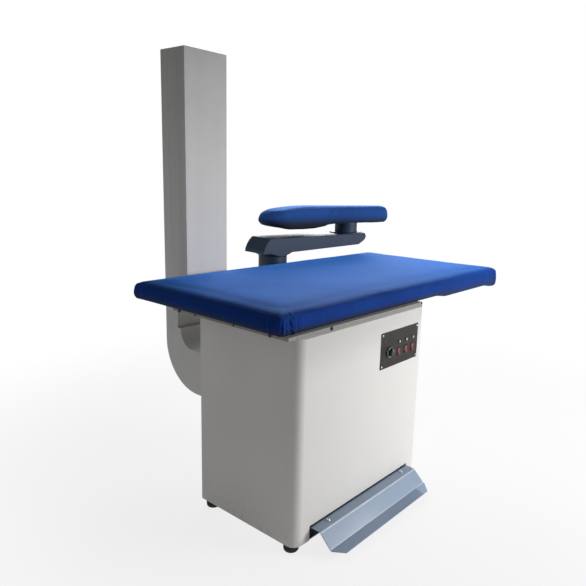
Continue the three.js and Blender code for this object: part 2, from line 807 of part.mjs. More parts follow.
// Motor under the blower, its shaft and the two stands
const motorTop = scrollFloor;
const motorBottom = motorTop - motorHeight;
const shaftBottom = motorTop - shaftInMotor;
piece(machine, 'motor_body', cut(
  join(
    bar('z', motorRadius, [motorBottom, motorTop], fanX, fanY),
    bar('z', motorFlange, [motorTop - motorFlangeThickness, motorTop], fanX, fanY),
  ),
  bar('z', shaftRadius + gap, [shaftBottom - gap, motorTop + overrun], fanX, fanY, smallSides),
), castGrey);
piece(machine, 'motor_shaft',
  bar('z', shaftRadius, [shaftBottom, discBottom + shaftInMotor + shaftAboveHub], fanX, fanY, smallSides),
  brightSteel);
const standY = [fanY - standDepth / 2, fanY + standDepth / 2];
[['blower_stand_left', -1], ['blower_stand_right', 1]].forEach(([name, side]) => {
  const web = fanX + side * standReach;
  const spanX = (reach, thickness) => [web + side * reach, web - side * thickness].sort((a, b) => a - b);
  piece(machine, name, join(
    box(spanX(0, platework), standY, [floorTop, scrollFloor]),
    box(spanX(standFoot, platework), standY, [floorTop, floorTop + platework]),
    box(spanX(0, standFoot / 2), standY, [scrollFloor - platework, scrollFloor]),
  ), zincSteel);
});

// Straight duct from the blower outlet through the back panel to the elbow
const ductX = [ductLeft, ductRight];
const ductInnerX = [ductLeft + sheet, ductRight - sheet];
const ductZ = [ductBottom, ductTop];
const ductInnerZ = [ductBottom + sheet, ductTop - sheet];
const lipX = [ductLeft - ductFlangeLip, ductRight + ductFlangeLip];
const lipZ = [ductBottom - ductFlangeLip, ductTop + ductFlangeLip];
piece(machine, 'exhaust_duct', cut(
  join(
    box(ductX, [ductTouch, elbowFlangeY], ductZ),
    box(lipX, [panelOuter, panelOuter + ductFlangeThickness], lipZ),
    box(lipX, [elbowFlangeY - ductFlangeThickness, elbowFlangeY], lipZ),
  ),
  box(ductInnerX, [ductTouch - overrun, elbowFlangeY + overrun], ductInnerZ),
), ductGrey);

// Elbow: a wide quarter bend outside, a tighter one at the throat
function elbowSide(inset, past) {
  const outer = elbowOuterRadius - inset;
  const throat = elbowThroatRadius + inset;
  const centreY = chimneyBack - elbowOuterRadius;
  const centreZ = ductBottom + elbowOuterRadius;
  const throatY = chimneyBack - elbowTopDepth - elbowThroatRadius;
  const throatZ = ductTop + elbowThroatRadius;
  const side = new THREE.Shape();
  side.moveTo(elbowFlangeY - past, ductBottom + inset);
  side.lineTo(centreY, ductBottom + inset);
  side.absarc(centreY, centreZ, outer, -Math.PI / 2, 0);
  side.lineTo(chimneyBack - inset, elbowTop - inset);
  side.lineTo(throatY + throat, elbowTop - inset);
  side.lineTo(throatY + throat, throatZ);
  side.absarc(throatY, throatZ, throat, 0, -Math.PI / 2, true);
  side.lineTo(elbowFlangeY - past, ductTop - inset);
  side.closePath();
  return side;
}
const riserY = [chimneyBack - riserDepth, chimneyBack];
const riserInnerY = [riserY[0] + sheet, chimneyBack - sheet];
piece(machine, 'exhaust_elbow', cut(
  join(
    prism(elbowSide(0, 0), 'x', ductX),
    cut(
      box(lipX, [elbowFlangeY, elbowFlangeY + ductFlangeThickness], lipZ),
      prism(elbowSide(sheet, overrun), 'x', ductInnerX),
    ),
  ),
  prism(elbowSide(sheet, overrun), 'x', ductInnerX),
  box(ductInnerX, riserInnerY, [elbowTop - overrun, elbowTop + overrun]),
), ductGrey);

// Riser, the plate that carries the chimney, and the chimney's two channels
const supportTop = cabinetTop;
const supportBottom = supportTop - supportPlate;
piece(machine, 'riser_duct', cut(
  box(ductX, riserY, [elbowTop, supportBottom]),
  box(ductInnerX, riserInnerY, [elbowTop - overrun, supportBottom + overrun]),
), ductGrey);
const supportX = [ductLeft - supportMargin, ductRight + supportMargin];
const supportPlateY = [frameBack - frameBar + platework, chimneyBack + platework];
piece(machine, 'chimney_support', cut(
  box(supportX, supportPlateY, [supportTop - supportSkirt, supportTop]),
  box([supportX[0] + platework, supportX[1] - platework],
    [supportPlateY[0] - overrun, supportPlateY[1] + overrun],
    [supportTop - supportSkirt - overrun, supportBottom]),
  box(ductInnerX, riserInnerY, [supportBottom - overrun, supportTop + overrun]),
), lightGrey);
const chimneyZ = [supportTop, chimneyTop];
const seamY = chimneyBack - chimneySeamDepth;
const chimneyFrontY = chimneyBack - chimneyDepth;
const chimneyBoreZ = [supportTop - overrun, chimneyTop + overrun];
piece(machine, 'chimney_rear', cut(
  box(ductX, [seamY, chimneyBack], chimneyZ),
  box(ductInnerX, [seamY - overrun, chimneyBack - sheet], chimneyBoreZ),
), ductGrey);
piece(machine, 'chimney_front', cut(
  box(ductX, [chimneyFrontY, seamY], chimneyZ),
  box(ductInnerX, [chimneyFrontY + sheet, seamY + overrun], chimneyBoreZ),
), ductGrey);

// Bracket under the tray: a box that carries the column and leads air to it
const bracketX = [columnX - bracketWidth / 2, columnX + bracketWidth / 2];
const bracketY = [trayBack - bracketReachUnder, trayBack + bracketReachBehind];
const bracketZ = [tableBottom - bracketHeight, tableBottom];
const columnBore = columnRadius - platework;
piece(machine, 'column_bracket', cut(
  box(bracketX, bracketY, bracketZ),
  box([bracketX[0] + platework, bracketX[1] - platework], [bracketY[0] + platework, bracketY[1] - platework],
    [bracketZ[0] + platework, bracketZ[1] - platework]),
  box(portX, portY, [tableBottom - overrun, tableBottom + overrun]),
  bar('z', columnBore, [tableBottom - overrun, tableBottom + overrun], columnX, columnY),
), slateBlue);
const columnTop = tableBottom + columnHeight;
piece(machine, 'arm_column', cut(
  join(
    bar('z', columnRadius, [tableBottom, columnTop], columnX, columnY),
    bar('z', columnFlange, [tableBottom, tableBottom + columnFlangeThickness], columnX, columnY),
  ),
  bar('z', columnBore, [tableBottom - overrun, columnTop + overrun], columnX, columnY),
), slateBlue);
const bushOuter = columnBore - gap;
const bushInner = bushOuter - bushWall;
const bushTop = columnTop + bushFlange;
const bushBottom = columnTop - bushDepth;
piece(machine, 'column_bush', join(
  pipe('z', bushOuter, bushInner, [bushBottom, bushTop], columnX, columnY),
  pipe('z', columnRadius, bushInner, [columnTop, bushTop], columnX, columnY),
), darkPlastic);

// Swing arm, drawn along +X from the column's axis and then turned
const arm = new THREE.Group();
arm.position.set(columnX, columnY, 0);
arm.rotation.z = turned(armAngle);
machine.add(arm);
const hubBottom = bushTop + gap;
const armTop = hubBottom + armDepth;
const armRootBottom = armTop - armRootDrop;
const armTipBottom = armTop - armTipDrop;
const armEnd = armReach + armNose;
const noseShares = [[0.38, 0], [0.23, 0.15], [0.09, 0.32], [0.02, 0.49], [0, 0.66], [0.03, 0.82], [0.12, 1]];
const rootShares = [[1, 0], [0.98, 0.22], [0.9, 0.5], [0.78, 0.78], [0.62, 1]];
function armRing(inset, back, z) {
  const half = armWidth / 2 - inset;
  const centre = armEnd - armWidth / 2 - back * armNose;
  const start = -armRootReach - overrun;
  const round = Array.from({ length: noseSteps + 1 }, (_, i) => {
    const angle = Math.PI * (i / noseSteps - 0.5);
    return [centre + half * Math.cos(angle), half * Math.sin(angle), z];
  });
  return [[start, -half, z], ...round, [start, half, z]];
}
// The arm's outer form, or with an inset its hollow, which is open at the top
function armForm(inset) {
  const bottom = armTipBottom + inset;
  const underside = armRootBottom + inset;
  const nose = noseShares.map(([back, rise]) => armRing(inset, back, bottom + rise * (armTop - bottom)));
  const root = rootShares.map(([reach, rise]) => [
    inset - armRootReach * reach, underside + rise * (armTop - underside)]);
  const lowest = noseShares[0][0];
  const outline = [
    [columnRadius + armHubFlareTop, underside],
    [armEnd - lowest * armNose, bottom],
    [armEnd + overrun, bottom],
    [armEnd + overrun, armTop],
    ...root.reverse(),
  ];
  return loft([armRing(inset, lowest, hubBottom - overrun), ...nose])
    .intersect(prism(polygon(outline), 'y', [-armWidth, armWidth]));
}
const spigotOuter = bushInner - turningPlay;
const spigotInner = spigotOuter - spigotWall;
const coverBottom = armTop - armWall;
const armCover = box([-armRootReach, armEnd], [-armWidth, armWidth], [coverBottom, armTop + overrun]);
const hubHeight = armRootBottom - hubBottom;
const flare = new THREE.CylinderGeometry(columnRadius + armHubFlareTop, columnRadius, hubHeight, roundSides);
flare.rotateX(Math.PI / 2);
flare.translate(0, 0, hubBottom + hubHeight / 2);
const armHub = solid(flare).intersect(box(
  [-armRootReach, armReach], [-armWidth / 2, armWidth / 2], [hubBottom - overrun, armTop]));
piece(arm, 'swing_arm', cut(
  join(
    cut(armForm(0), armForm(armWall), armCover),
    armHub,
    bar('z', spigotOuter, [bushBottom, armRootBottom + armWall], 0, 0),
  ),
  bar('z', spigotInner, [bushBottom - overrun, armTop], 0, 0),
), slateBlue);
const postBore = postRadius - postWall;
piece(arm, 'arm_top_cover', cut(
  armForm(0).intersect(armCover),
  bar('z', postBore, [coverBottom - overrun, armTop + overrun], armReach, 0),
), slateBlue);
const postShoulder = armTop + postFlangeThickness;
const postTop = armTop + postHeight;
piece(arm, 'buck_post', cut(
  join(
    bar('z', postFlange, [armTop, postShoulder], armReach, 0),
    bar('z', postRadius, [armTop, postTop], armReach, 0),
    bar('z', postSpigotRadius, [armTop, postTop + postSpigotRise], armReach, 0),
  ),
  bar('z', postSpigotRadius - postWall, [armTop - overrun, postTop + postSpigotRise + overrun], armReach, 0),
), slateBlue);

// Buck: a tapered tray, pad and cover on the post, its own group turned a little from the arm
const buck = new THREE.Group();
buck.position.set(armReach, 0, 0);
buck.rotation.z = turned(buckTurn);
arm.add(buck);
const collarBottom = postTop + gap;
const buckBottom = postTop + buckAbovePost;
const buckTop = buckBottom + buckHeight;
const buckFarEnd = buckLongReach + buckWideRadius;
const sagShare = (x) => THREE.MathUtils.smoothstep(-x, buckSagStart, buckSagEnd)
  * (1 - buckSagBack * THREE.MathUtils.smoothstep(-x, buckSagEnd, buckFarEnd));
const noseDrop = (x) => (
  buckNoseDrop * (Math.max(-x - buckNoseStart, 0) / (buckFarEnd - buckNoseStart)) ** 2);
function buckPoints(inset) {
  const wide = buckWideRadius - inset;
  const narrow = buckNarrowRadius - inset;
  const tangent = Math.acos((buckWideRadius - buckNarrowRadius) / (buckLongReach + buckShortReach));
  const lean = Math.PI - tangent;
  const narrowArc = Array.from({ length: arcSteps + 1 }, (_, i) => {
    const angle = -lean + (2 * lean * i) / arcSteps;
    return [buckShortReach + narrow * Math.cos(angle), narrow * Math.sin(angle)];
  });
  const wideArc = Array.from({ length: arcSteps + 1 }, (_, i) => {
    const angle = lean + (2 * (Math.PI - lean) * i) / arcSteps;
    return [-buckLongReach + wide * Math.cos(angle), wide * Math.sin(angle)];
  });
  const between = (from, to) => Array.from({ length: sideSteps }, (_, i) => {
    const share = (i + 1) / (sideSteps + 1);
    return [from[0] + (to[0] - from[0]) * share, from[1] + (to[1] - from[1]) * share];
  });
  return [...narrowArc, ...between(narrowArc[arcSteps], wideArc[0]), ...wideArc,
    ...between(wideArc[arcSteps], narrowArc[0])];
}
function buckPrism(inset, [from, to], topShare, bottomShare = 0) {
  const ring = (z, share) => buckPoints(inset).map(([x, y]) => [x, y, z - share * noseDrop(x)]);
  return loft([ring(from, bottomShare), ring(to, topShare)]);
}
const buckRings = cushionShares.slice(0, -2).map(([insetShare, heightShare]) => (
  buckPoints(insetShare * buckEdgeRound).map(([x, y]) => {
    const bottom = buckBottom - buckSag * sagShare(x);
    return [x, y, bottom + heightShare * (buckTop - noseDrop(x) - bottom)];
  })));
const buckTrayBottom = buckBottom + sheet;
const buckTrayTop = buckTrayBottom + buckTrayHeight;
const buckPadTop = buckTrayTop + buckPadThickness;
piece(buck, 'buck_tray', cut(
  join(
    cut(
      buckPrism(buckShellInset, [buckTrayBottom, buckTrayTop], buckTrayDropShare),
      buckPrism(buckShellInset + sheet, [buckTrayBottom + sheet, buckTrayTop + overrun], 0),
    ),
    bar('z', postRadius, [collarBottom, buckTrayBottom + sheet], 0, 0),
  ),
  bar('z', postSpigotRadius + turningPlay, [collarBottom - overrun, buckTrayTop + overrun], 0, 0),
), slateBlue);
piece(buck, 'buck_pad',
  buckPrism(buckShellInset, [buckTrayTop, buckPadTop], 1, buckTrayDropShare), feltWhite);
piece(buck, 'buck_cover', cut(
  loft(buckRings),
  buckPrism(buckShellInset - gap, [buckBottom - buckSag - overrun, buckPadTop + gap], 1),
  bar('z', postRadius + gap, [collarBottom - overrun, buckTrayBottom + sheet + gap], 0, 0),
), royalBlue);

// Control plate
const controlX = [controlLeft, controlLeft + controlWidth];
const controlZ = [controlBottom, controlBottom + controlHeight];
const controlThrough = [-controlThickness - overrun, overrun];
const switchX = Array.from({ length: switchCount }, (_, i) => rockerX + i * rockerPitch);
const halfRocker = rockerWidth / 2;
const halfRockerHeight = rockerHeight / 2;
const pocketHalfX = halfRocker + gap;
const pocketHalfZ = halfRockerHeight + gap + turningPlay;
const bezelHalfX = pocketHalfX + rockerBezel;
const bezelHalfZ = pocketHalfZ + rockerBezel;
const span = (centre, half) => [centre - half, centre + half];
piece(machine, 'control_plate', cut(
  box(controlX, [-controlThickness, 0], controlZ),
  bar('y', knobShaft + gap, controlThrough, knobX, knobZ, smallSides),
  ...switchX.map((x) => box(span(x, bezelHalfX + gap), controlThrough, span(rockerZ, bezelHalfZ + gap))),
  ...switchX.map((x) => bar('y', lampRadius + gap, controlThrough, x, lampZ, smallSides)),
), panelBlack);

// Thermostat and its knob
piece(machine, 'thermostat_body', cut(
  bar('y', thermostatRadius, [0, thermostatDepth], knobX, knobZ),
  bar('y', knobShaft + gap, [-overrun, thermostatDepth / 2], knobX, knobZ, smallSides),
), blackPlastic);
const knobBack = -controlThickness - gap;
const skirtFront = knobBack - knobSkirtDepth;
const gripFront = knobBack - knobDepth;
piece(machine, 'thermostat_knob', join(
  bar('y', knobSkirt, [skirtFront, knobBack], knobX, knobZ),
  bar('y', knobGrip, [gripFront, knobBack], knobX, knobZ),
  box(span(knobX, knobPointer / 2), [skirtFront - knobPointer, knobBack],
    [knobZ + knobGrip / 2, knobZ + knobSkirt - sheet]),
  bar('y', knobShaft, [knobBack, thermostatDepth / 2 - gap], knobX, knobZ, smallSides),
), blackPlastic);

// Switch bank: one bar behind the plate with three bezels and their pockets
const bezelFront = -rockerProud;
const bankX = [switchX[0] - bezelHalfX - sheet, switchX[switchCount - 1] + bezelHalfX + sheet];
const bankY = [rockerProud, rockerProud + switchBarDepth];
piece(machine, 'switch_bank', cut(
  join(
    box(bankX, bankY, span(rockerZ, bezelHalfZ)),
    ...switchX.map((x) => box(span(x, bezelHalfX), [bezelFront, bankY[1]], span(rockerZ, bezelHalfZ))),
  ),
  ...switchX.map((x) => (
    box(span(x, pocketHalfX), [bezelFront - overrun, rockerPocket], span(rockerZ, pocketHalfZ)))),
), blackPlastic);

// Rockers: two front facets that meet over the pivot, resting with one end pressed in
const rockerNoseShares = [[-0.4, 1], [-0.25, 0], [-0.4, -1], [0.5, -0.56], [0.5, 0.56]];
const rockerOutline = polygon(rockerNoseShares.map(([deepShare, highShare]) => {
  const tilt = turned(rockerTilt);
  const y = deepShare * halfRockerHeight;
  const z = highShare * halfRockerHeight;
  return [y * Math.cos(tilt) + z * Math.sin(tilt), rockerZ - y * Math.sin(tilt) + z * Math.cos(tilt)];
}).reverse());
switchX.forEach((x, i) => {
  piece(machine, `rocker_switch_${i + 1}`, prism(rockerOutline, 'x', span(x, halfRocker)), redPlastic);
  piece(machine, `pilot_lamp_${i + 1}`, join(
    bar('y', lampRadius, [-controlThickness - lampDome, lampDepth], x, lampZ, smallSides),
    bar('y', lampBezel, [-controlThickness - lampBezelThickness, -controlThickness], x, lampZ, smallSides),
  ), lampPlastic);
});

// Electrical box behind the panel, open to the front
const boxX = [controlLeft + boxMargin, controlLeft + controlWidth - boxWall];
const boxZ = [controlBottom + boxMargin, controlBottom + controlHeight - boxMargin];
piece(machine, 'electrical_box', cut(
  box(boxX, [sheet, sheet + boxDepth], boxZ),
  box([boxX[0] + boxWall, boxX[1] - boxWall], [sheet - overrun, sheet + boxDepth - boxWall],
    [boxZ[0] + boxWall, boxZ[1] - boxWall]),
), zincSteel);

// Mains gland in the back panel
piece(machine, 'mains_gland', cut(
  join(
    bar('y', panelGlandBore, [panelInner - overrun, panelOuter + overrun], glandX, glandZ, smallSides),
    bar('y', panelGlandBore + platework, [panelOuter, panelOuter + overrun], glandX, glandZ, smallSides),
  ),
  bar('y', panelGlandBore / 2, [panelInner - 2 * overrun, panelOuter + 2 * overrun],
    glandX, glandZ, smallSides),
), blackPlastic);

// Pedal plate: one sheet with three folds, its front corners cut off
const pedalLine = [
  [-pedalBackGap, pedalTop],
  [-pedalBackGap - pedalFlangeDepth, pedalTop],
  [-pedalFoldForward, pedalFoldHeight],
  [-pedalLipForward, pedalLipHeight],
];
// The same line on the sheet's other face, with each fold where the two moved faces meet
function otherFace(line, thickness) {
  const normals = line.slice(1).map(([u, v], i) => {
    const [along, rise] = [u - line[i][0], v - line[i][1]];
    const length = Math.hypot(along, rise);
    return [-rise / length, along / length];
  });
  return line.map(([u, v], i) => {
    const before = normals[Math.max(i - 1, 0)];
    const after = normals[Math.min(i, normals.length - 1)];
    const [sumU, sumV] = [before[0] + after[0], before[1] + after[1]];
    const mitre = (2 * thickness) / (sumU * sumU + sumV * sumV);
    return [u + sumU * mitre, v + sumV * mitre];
  });
}
const pedalOutline = polygon([...pedalLine, ...otherFace(pedalLine, pedalThickness).reverse()]);
const pedalTip = -pedalLipForward - overrun;
const chamferSpan = pedalChamfer + overrun;
const pedalZ = [0, pedalTop];
piece(machine, 'pedal_plate', cut(
  prism(pedalOutline, 'x', [pedalLeft, pedalRight]),
  prism(polygon([[pedalLeft - overrun, pedalTip], [pedalLeft + pedalChamfer, pedalTip],
    [pedalLeft - overrun, pedalTip + chamferSpan]]), 'z', pedalZ),
  prism(polygon([[pedalRight + overrun, pedalTip], [pedalRight + overrun, pedalTip + chamferSpan],
    [pedalRight - pedalChamfer, pedalTip]]), 'z', pedalZ),
), pedalBlue);

// Levers under the plate, on the shaft
const leverTop = pedalTop - pedalThickness;
const leverFront = -leverReach;
function lever(x) {
  const spanX = span(x, leverThickness / 2);
  return join(
    box(spanX, [leverFront, pedalShaftY], [leverTop - leverHeight, leverTop]),
    bar('x', leverBoss, spanX, pedalShaftY, pedalShaftZ),
  );
}
const shaftHole = bar('x', pedalShaftRadius + gap, [pedalLeft, pedalRight], pedalShaftY, pedalShaftZ);
piece(machine, 'pedal_lever_left', cut(lever(leverLeftX), shaftHole), zincSteel);
piece(machine, 'pedal_lever_right', cut(
  join(
    lever(leverRightX),
    box(span(leverRightX, leverThickness / 2), [pedalShaftY, rodPinY + rearArmEnd],
      [pedalShaftZ - rearArmDrop, pedalShaftZ + rearArmDrop]),
    bar('x', pinRadius, [leverRightX, pinEnd], rodPinY, pedalShaftZ, smallSides),
  ),
  shaftHole,
), zincSteel);
const shaftEnds = [lugLeftX - pedalShaftRadius, lugRightX + lugThickness + pedalShaftRadius];
piece(machine, 'pedal_shaft', bar('x', pedalShaftRadius, shaftEnds, pedalShaftY, pedalShaftZ), brightSteel);

// Return spring under the left lever: one wire in a helix, ends level with its seats
const springY = pedalShaftY - springForward;
const springZ = [floorTop + springWire / 2 + gap, leverTop - leverHeight - springWire / 2 - gap];
const springCoil = springRadius - springWire / 2;
const springPoints = Array.from({ length: springTurns * springStepsPerTurn + 1 }, (_, i) => {
  const angle = (2 * Math.PI * i) / springStepsPerTurn;
  const rise = (springZ[1] - springZ[0]) * (i / (springTurns * springStepsPerTurn));
  return new THREE.Vector3(
    leverLeftX + springCoil * Math.cos(angle), springY + springCoil * Math.sin(angle), springZ[0] + rise);
});
const springGap = springPoints.slice(springStepsPerTurn)
  .reduce((least, point, i) => Math.min(least, point.distanceTo(springPoints[i])), Infinity) - springWire;
console.log(`least gap between the pedal spring's turns: ${springGap.toFixed(2)} mm`);
piece(machine, 'pedal_spring', tube(springPoints, springWire / 2, springSides), brightSteel);

// Link rod from the right lever up to the flap's crank, with a slot at its top end
const rodX = [rodNear, rodFar];
const rodSlotHalf = pinRadius + rodSlotPlay;
piece(machine, 'link_rod', cut(
  join(
    box(rodX, span(rodPinY, rodWidth / 2), [pedalShaftZ, crankPinZ]),
    bar('x', rodEye, rodX, rodPinY, pedalShaftZ, smallSides),
    box(rodX, span(rodPinY, rodSlotHalf + rodEye / 2), span(crankPinZ, rodEye)),
  ),
  bar('x', pinRadius + gap, [rodNear - overrun, rodFar + overrun], rodPinY, pedalShaftZ, smallSides),
  box([rodNear - overrun, rodFar + overrun], span(rodPinY, rodSlotHalf), span(crankPinZ, pinRadius + gap)),
), brightSteel);

// Centre the machine over the floor
const extent = new THREE.Box3().setFromObject(machine, true);
const middle = extent.getCenter(new THREE.Vector3());
machine.position.set(-middle.x, -middle.y, -extent.min.z);

export default machine;
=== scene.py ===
import json
import math
import bmesh
import bpy
import numpy as np
from mathutils import Matrix, Vector, noise


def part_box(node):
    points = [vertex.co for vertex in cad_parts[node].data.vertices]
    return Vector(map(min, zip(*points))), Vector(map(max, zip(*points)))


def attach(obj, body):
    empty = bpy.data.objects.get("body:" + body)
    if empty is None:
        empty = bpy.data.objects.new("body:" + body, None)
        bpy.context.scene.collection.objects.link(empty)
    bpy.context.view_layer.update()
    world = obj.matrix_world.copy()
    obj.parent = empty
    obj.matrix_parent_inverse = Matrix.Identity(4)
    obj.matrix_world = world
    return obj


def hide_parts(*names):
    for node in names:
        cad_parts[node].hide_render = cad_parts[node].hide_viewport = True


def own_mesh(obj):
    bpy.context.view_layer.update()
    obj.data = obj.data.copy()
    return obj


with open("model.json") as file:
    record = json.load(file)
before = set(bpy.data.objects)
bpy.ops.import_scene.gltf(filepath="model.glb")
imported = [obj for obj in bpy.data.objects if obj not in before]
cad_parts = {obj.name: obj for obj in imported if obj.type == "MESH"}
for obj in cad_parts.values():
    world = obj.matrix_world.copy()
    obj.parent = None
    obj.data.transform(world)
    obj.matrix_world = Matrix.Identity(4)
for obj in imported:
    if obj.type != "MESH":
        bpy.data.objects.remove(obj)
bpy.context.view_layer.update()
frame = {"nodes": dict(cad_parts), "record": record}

scene = bpy.context.scene
scene.view_settings.view_transform = "Standard"
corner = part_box("cabinet_shell")[0]  # the cabinet's front left corner on the floor plan
bodyOf = {n: b for b, names in frame["record"]["behaviour"]["bodies"].items() for n in names}
slotOf = {part["node"]: part["material_slot"] for part in frame["record"]["subparts"]}


def at(x, y, z=0.0):
    # millimetres from the cabinet's front left corner, as on the drawing
    return Vector((corner.x + x / 1000, corner.y + y / 1000, z / 1000))


# Camera
camera = {
    "place": (-1279.5, -1155.7, 1247.2),
    "yaw": -51.18,
    "pitch": -11.49,
    "roll": 2.06,
    "lens": 35.739,
    "shiftX": -0.0684,
    "shiftY": 0.0047,
}
cameraData = bpy.data.cameras.new("photoCamera")
cameraData.sensor_width = 36
cameraData.lens = camera["lens"]
cameraData.shift_x = camera["shiftX"]
cameraData.shift_y = camera["shiftY"]
cameraData.clip_end = 60
cameraObject = bpy.data.objects.new("photoCamera", cameraData)
scene.collection.objects.link(cameraObject)
yaw, pitch, roll = (math.radians(camera[k]) for k in ("yaw", "pitch", "roll"))
ahead = Vector((math.sin(-yaw) * math.cos(pitch), math.cos(-yaw) * math.cos(pitch), math.sin(pitch)))
level = ahead.cross(Vector((0, 0, 1))).normalized()
upward = level.cross(ahead)
aside = level * math.cos(roll) + upward * math.sin(roll)
upward = upward * math.cos(roll) - level * math.sin(roll)
turnOfCamera = Matrix((aside, upward, -ahead)).transposed()
cameraObject.matrix_world = Matrix.Translation(at(*camera["place"])) @ turnOfCamera.to_4x4()
scene.camera = cameraObject


# Shader maths
class Wire:
    # one output socket; sums, products and the like on it add Math nodes
    def __init__(self, finish, socket):
        self.finish = finish
        self.socket = socket

    def maths(self, operation, *values):
        return self.finish.node("ShaderNodeMath", {"operation": operation}, dict(enumerate(values)))

    def __add__(self, other):
        return self.maths("ADD", self, other)

    def __radd__(self, other):
        return self.maths("ADD", other, self)

    def __sub__(self, other):
        return self.maths("SUBTRACT", self, other)

    def __mul__(self, other):
        return self.maths("MULTIPLY", self, other)

    def __pow__(self, other):
        return self.maths("POWER", self, other)

    def __abs__(self):
        return self.maths("ABSOLUTE", self)

    def sine(self):
        return self.maths("SINE", self)

    def over(self, edge):
        return self.maths("GREATER_THAN", self, edge)

    def least(self, other):
        return self.maths("MINIMUM", self, other)

    def most(self, other):
        return self.maths("MAXIMUM", self, other)

    def ease(self, low, high, start=0.0, end=1.0):
        # soft step from start to end while this goes from low to high
        settings = {"interpolation_type": "SMOOTHSTEP"}
        return self.finish.node("ShaderNodeMapRange", settings, {0: self, 1: low, 2: high, 3: start, 4: end})


class Finish:
    # a material and the few nodes that all of them use
    def __init__(self, name):
        self.material = bpy.data.materials.new(name)
        self.material.use_nodes = True
        self.tree = self.material.node_tree
        self.tree.nodes.clear()
        self.place = self.node("ShaderNodeTexCoord", output="Object")
        self.facing = Wire(self, self.place.socket.node.outputs["Normal"])

    def node(self, kind, settings=None, inputs=None, output=0):
        made = self.tree.nodes.new(kind)
        for key, value in (settings or {}).items():
            setattr(made, key, value)
        for key, value in (inputs or {}).items():
            if isinstance(value, Wire):
                self.tree.links.new(value.socket, made.inputs[key])
            else:
                made.inputs[key].default_value = value
        return Wire(self, made.outputs[output])

    def parts(self, vector):
        split = self.node("ShaderNodeSeparateXYZ", inputs={0: vector}).socket.node
        return [Wire(self, out) for out in split.outputs]

    def stretched(self, scale, turn=(0, 0, 0)):
        return self.node("ShaderNodeMapping", inputs={"Vector": self.place, "Scale": scale, "Rotation": turn})

    def speckle(self, scale, detail=3.0, rough=0.55, vector=None):
        sockets = {"Vector": vector or self.place, "Scale": scale, "Detail": detail, "Roughness": rough}
        return self.node("ShaderNodeTexNoise", inputs=sockets)

    def blend(self, share, first, second):
        sockets = {0: share}
        sockets[6] = first if isinstance(first, Wire) else (*first, 1)
        sockets[7] = second if isinstance(second, Wire) else (*second, 1)
        return self.node("ShaderNodeMix", {"data_type": "RGBA"}, sockets, output=2)

    def relief(self, height, strength, distance):
        sockets = {"Height": height, "Strength": strength, "Distance": distance}
        return self.node("ShaderNodeBump", inputs=sockets)

    def surface(self, **sockets):
        named = {k.replace("_", " "): v for k, v in sockets.items()}
        shader = self.node("ShaderNodeBsdfPrincipled", inputs=named)
        return self.closed(shader)

    def closed(self, shader):
        end = self.tree.nodes.new("ShaderNodeOutputMaterial")
        self.tree.links.new(shader.socket, end.inputs[0])
        return self.material


def paint(colour):
    # a colour as a painter's 0 to 255 values, made linear
    return tuple((c / 255 / 12.92) if c <= 10 else ((c / 255 + 0.055) / 1.055) ** 2.4 for c in colour)


def shade(colour, share, added=0.0):
    return tuple(min(1, c * share + added) for c in colour)


# Paints: fine orange peel, cloudy tone, scuffs towards the floor, painted shade under the table's edge
def powderCoat(name, colour, gloss, cloudy, peelScale, scuff, paintedShadeUnderTable=0.0):
    f = Finish(name)
    height = f.parts(f.place)[2]
    cloud = f.speckle(2.6, 4.0).ease(0.35, 0.68)
    grime = f.speckle(34.0, 5.0, 0.62).ease(0.52, 0.8)
    low = height.ease(0.14, 0.04)
    # painted shade: the front and back faces grow darker towards the top, under the table's edge
    under = height.ease(0.58, 0.76) * paintedShadeUnderTable * abs(f.parts(f.facing)[1])
    dull = f.blend(cloud * cloudy + under, colour, shade(colour, 0.55))
    tone = f.blend(grime * low * scuff + grime * 0.03, dull, shade(colour, 0.35))
    peel = f.speckle(peelScale, 2.0, 0.45)
    waves = f.speckle(5.5, 2.0, 0.4)
    normal = f.relief(peel + waves * 6, 0.10, 0.0006)
    rough = gloss + cloud * 0.08 + grime * 0.06
    return f.surface(Base_Color=tone, Roughness=rough, Normal=normal, Coat_Weight=0.08)


# Duct sheet: upright streaks from the brush, painted shade growing towards the top, a dark worn rim
def ductSheet(name, colour):
    f = Finish(name)
    z = f.parts(f.place)[2]
    side = abs(f.parts(f.facing)[0]).ease(0.3, 0.8) * z.ease(0.62, 0.86)
    streaks = f.speckle(1.0, 4.0, 0.6, f.stretched((95, 95, 0.7)))
    wide = f.speckle(1.0, 3.0, 0.5, f.stretched((14, 14, 0.35)))
    dirt = f.speckle(9.0, 6.0, 0.65)
    chimneyTop = 1.7335
    rim = z.ease(chimneyTop - 0.0025, chimneyTop)
    # painted shade: the sheet grows darker the higher it goes
    paintedShadeHigh = z.ease(0.9, 2.0) * (0.8 + dirt * 0.4)
    worn = f.speckle(60.0, 5.0, 0.7).ease(0.35, 0.6)
    share = (streaks - 0.5) * (0.06 + side * 0.36) + (wide - 0.5) * (0.10 + side * 0.30) + (dirt - 0.5) * 0.10
    tone = f.blend(share.ease(-0.16, 0.22), shade(colour, 1.08), shade(colour, 0.80))
    tone = f.blend(paintedShadeHigh * 0.62, tone, shade(colour, 0.35))
    tone = f.blend(rim * (0.45 + worn * 0.4), tone, shade(colour, 0.25))
    peel = f.speckle(430.0, 2.0, 0.5)
    normal = f.relief(peel + streaks * 1.6, 0.10, 0.0005)
    return f.surface(Base_Color=tone, Roughness=0.46 + streaks * 0.1, Normal=normal, Specular_IOR_Level=0.45)


# Enamel of the arm: a little hammered
def enamel(name, colour, gloss):
    f = Finish(name)
    cloud = f.speckle(11.0, 4.0).ease(0.3, 0.72)
    fleck = f.speckle(260.0, 3.0, 0.6)
    tone = f.blend(cloud * 0.35, colour, shade(colour, 0.72))
    normal = f.relief(fleck + f.speckle(38.0, 2.0) * 1.6, 0.16, 0.0005)
    return f.surface(Base_Color=tone, Roughness=gloss + fleck * 0.08, Normal=normal)
